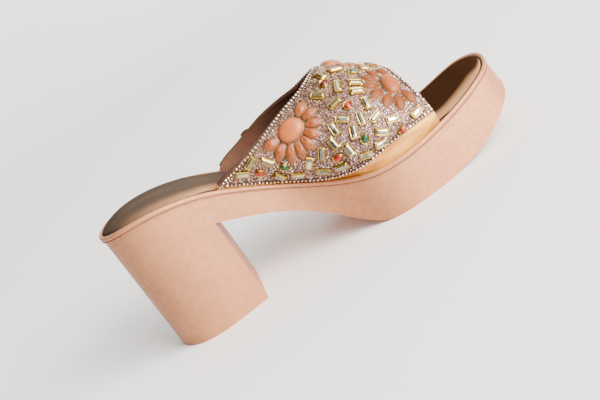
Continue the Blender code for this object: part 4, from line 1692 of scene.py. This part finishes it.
def sweep():
    """Floor that curves up into a backdrop behind the shoe."""
    profile = [(FLOOR_FRONT, 0.0), (BEND_START, 0.0)]
    for k in range(1, BEND_STEPS + 1):
        angle = pi / 2 * k / BEND_STEPS
        profile.append((BEND_START + BEND_RADIUS * sin(angle),
                        BEND_RADIUS - BEND_RADIUS * cos(angle)))
    profile.append((BEND_START + BEND_RADIUS, BACKDROP_TOP))
    vertices = [(x, y, z) for x in (-FLOOR_HALF_WIDTH, FLOOR_HALF_WIDTH) for y, z in profile]
    count = len(profile)
    faces = [(k, k + count, k + count + 1, k + 1) for k in range(count - 1)]
    mesh = bpy.data.meshes.new("floor_sweep")
    mesh.from_pydata(vertices, [], faces)
    mesh.shade_smooth()
    finish = Finish("floor_paper")
    cloud = finish.noise(3.0, 3.0, 0.5)
    tooth = finish.noise(900.0, 2.0, 0.6)
    colour = colours().floor
    mesh.materials.append(finish.surface({
        "Base Color": finish.tint(cloud, colour, 0.985, 1.01),
        "Roughness": 0.78 + tooth * 0.1,
        "Normal": finish.bump(tooth, 0.03, 0.2),
    }))
    made = linked("floor_sweep", mesh)


class SANDAL_OT_stage(bpy.types.Operator):
    """Floor, room light, soft lights and the camera"""
    bl_idname = "sandal.stage"
    bl_label = "Stage"

    def execute(self, context):
        sweep()
        soft_room(context.scene)
        soft_light("key", (1.85, -2.05, 0.88), (0.0, 0.0, 0.03), size=2.6, watts=460.0,
                   colour=(1.0, 0.98, 0.95))
        even_light("ceiling", (0.6, -0.22, 1.0), spread=90.0, strength=1.15, colour=WHITE)
        soft_light("side", (0.75, -0.35, 0.95), (0.15, 0.0, 0.0), size=0.8, watts=8.0,
                   colour=WHITE)
        camera = bpy.data.cameras.new("camera")
        camera.sensor_width = 36.0
        camera.lens = CAMERA_LENS
        camera.clip_start = 0.01
        made = linked("camera", camera)
        right = Vector(CAMERA_RIGHT).normalized()
        ahead = Vector(CAMERA_AHEAD).normalized()
        view = Matrix((right, right.cross(ahead), -ahead)).transposed()
        place = Vector((np.array(CAMERA_PLACE) + ORIGIN) * MM)
        turn = ahead.rotation_difference((Vector(CAMERA_AIM) - place).normalized())
        made.matrix_world = Matrix.Translation(place) @ (turn.to_matrix() @ view).to_4x4()
        context.scene.camera = made
        return {"FINISHED"}


# Add-on

STEPS = ("sole", "footbed", "vamp", "binding", "flowers", "crystals", "rhinestones", "beads",
         "stage")


class SANDAL_PT_panel(bpy.types.Panel):
    """Panel that lists the steps and the sizes and colours they use"""
    bl_idname = "SANDAL_PT_panel"
    bl_label = "Block heel sandal"
    bl_space_type = "VIEW_3D"
    bl_region_type = "UI"
    bl_category = "Sandal"

    def draw(self, context):
        for step in STEPS:
            self.layout.operator("sandal." + step)
        for group in (context.scene.sandal_sizes, context.scene.sandal_colours):
            for name in group.__annotations__:
                self.layout.prop(group, name)


CLASSES = (SandalSizes, SandalColours, SANDAL_OT_sole, SANDAL_OT_footbed, SANDAL_OT_vamp,
           SANDAL_OT_binding, SANDAL_OT_flowers, SANDAL_OT_crystals, SANDAL_OT_rhinestones,
           SANDAL_OT_beads, SANDAL_OT_stage, SANDAL_PT_panel)


def register():
    for made in CLASSES:
        bpy.utils.register_class(made)
    bpy.types.Scene.sandal_sizes = bpy.props.PointerProperty(type=SandalSizes)
    bpy.types.Scene.sandal_colours = bpy.props.PointerProperty(type=SandalColours)


def unregister():
    del bpy.types.Scene.sandal_sizes
    del bpy.types.Scene.sandal_colours
    for made in reversed(CLASSES):
        bpy.utils.unregister_class(made)


def main():
    register()
    for step in STEPS:
        getattr(bpy.ops.sandal, step)()


if __name__ == "__main__":
    main()
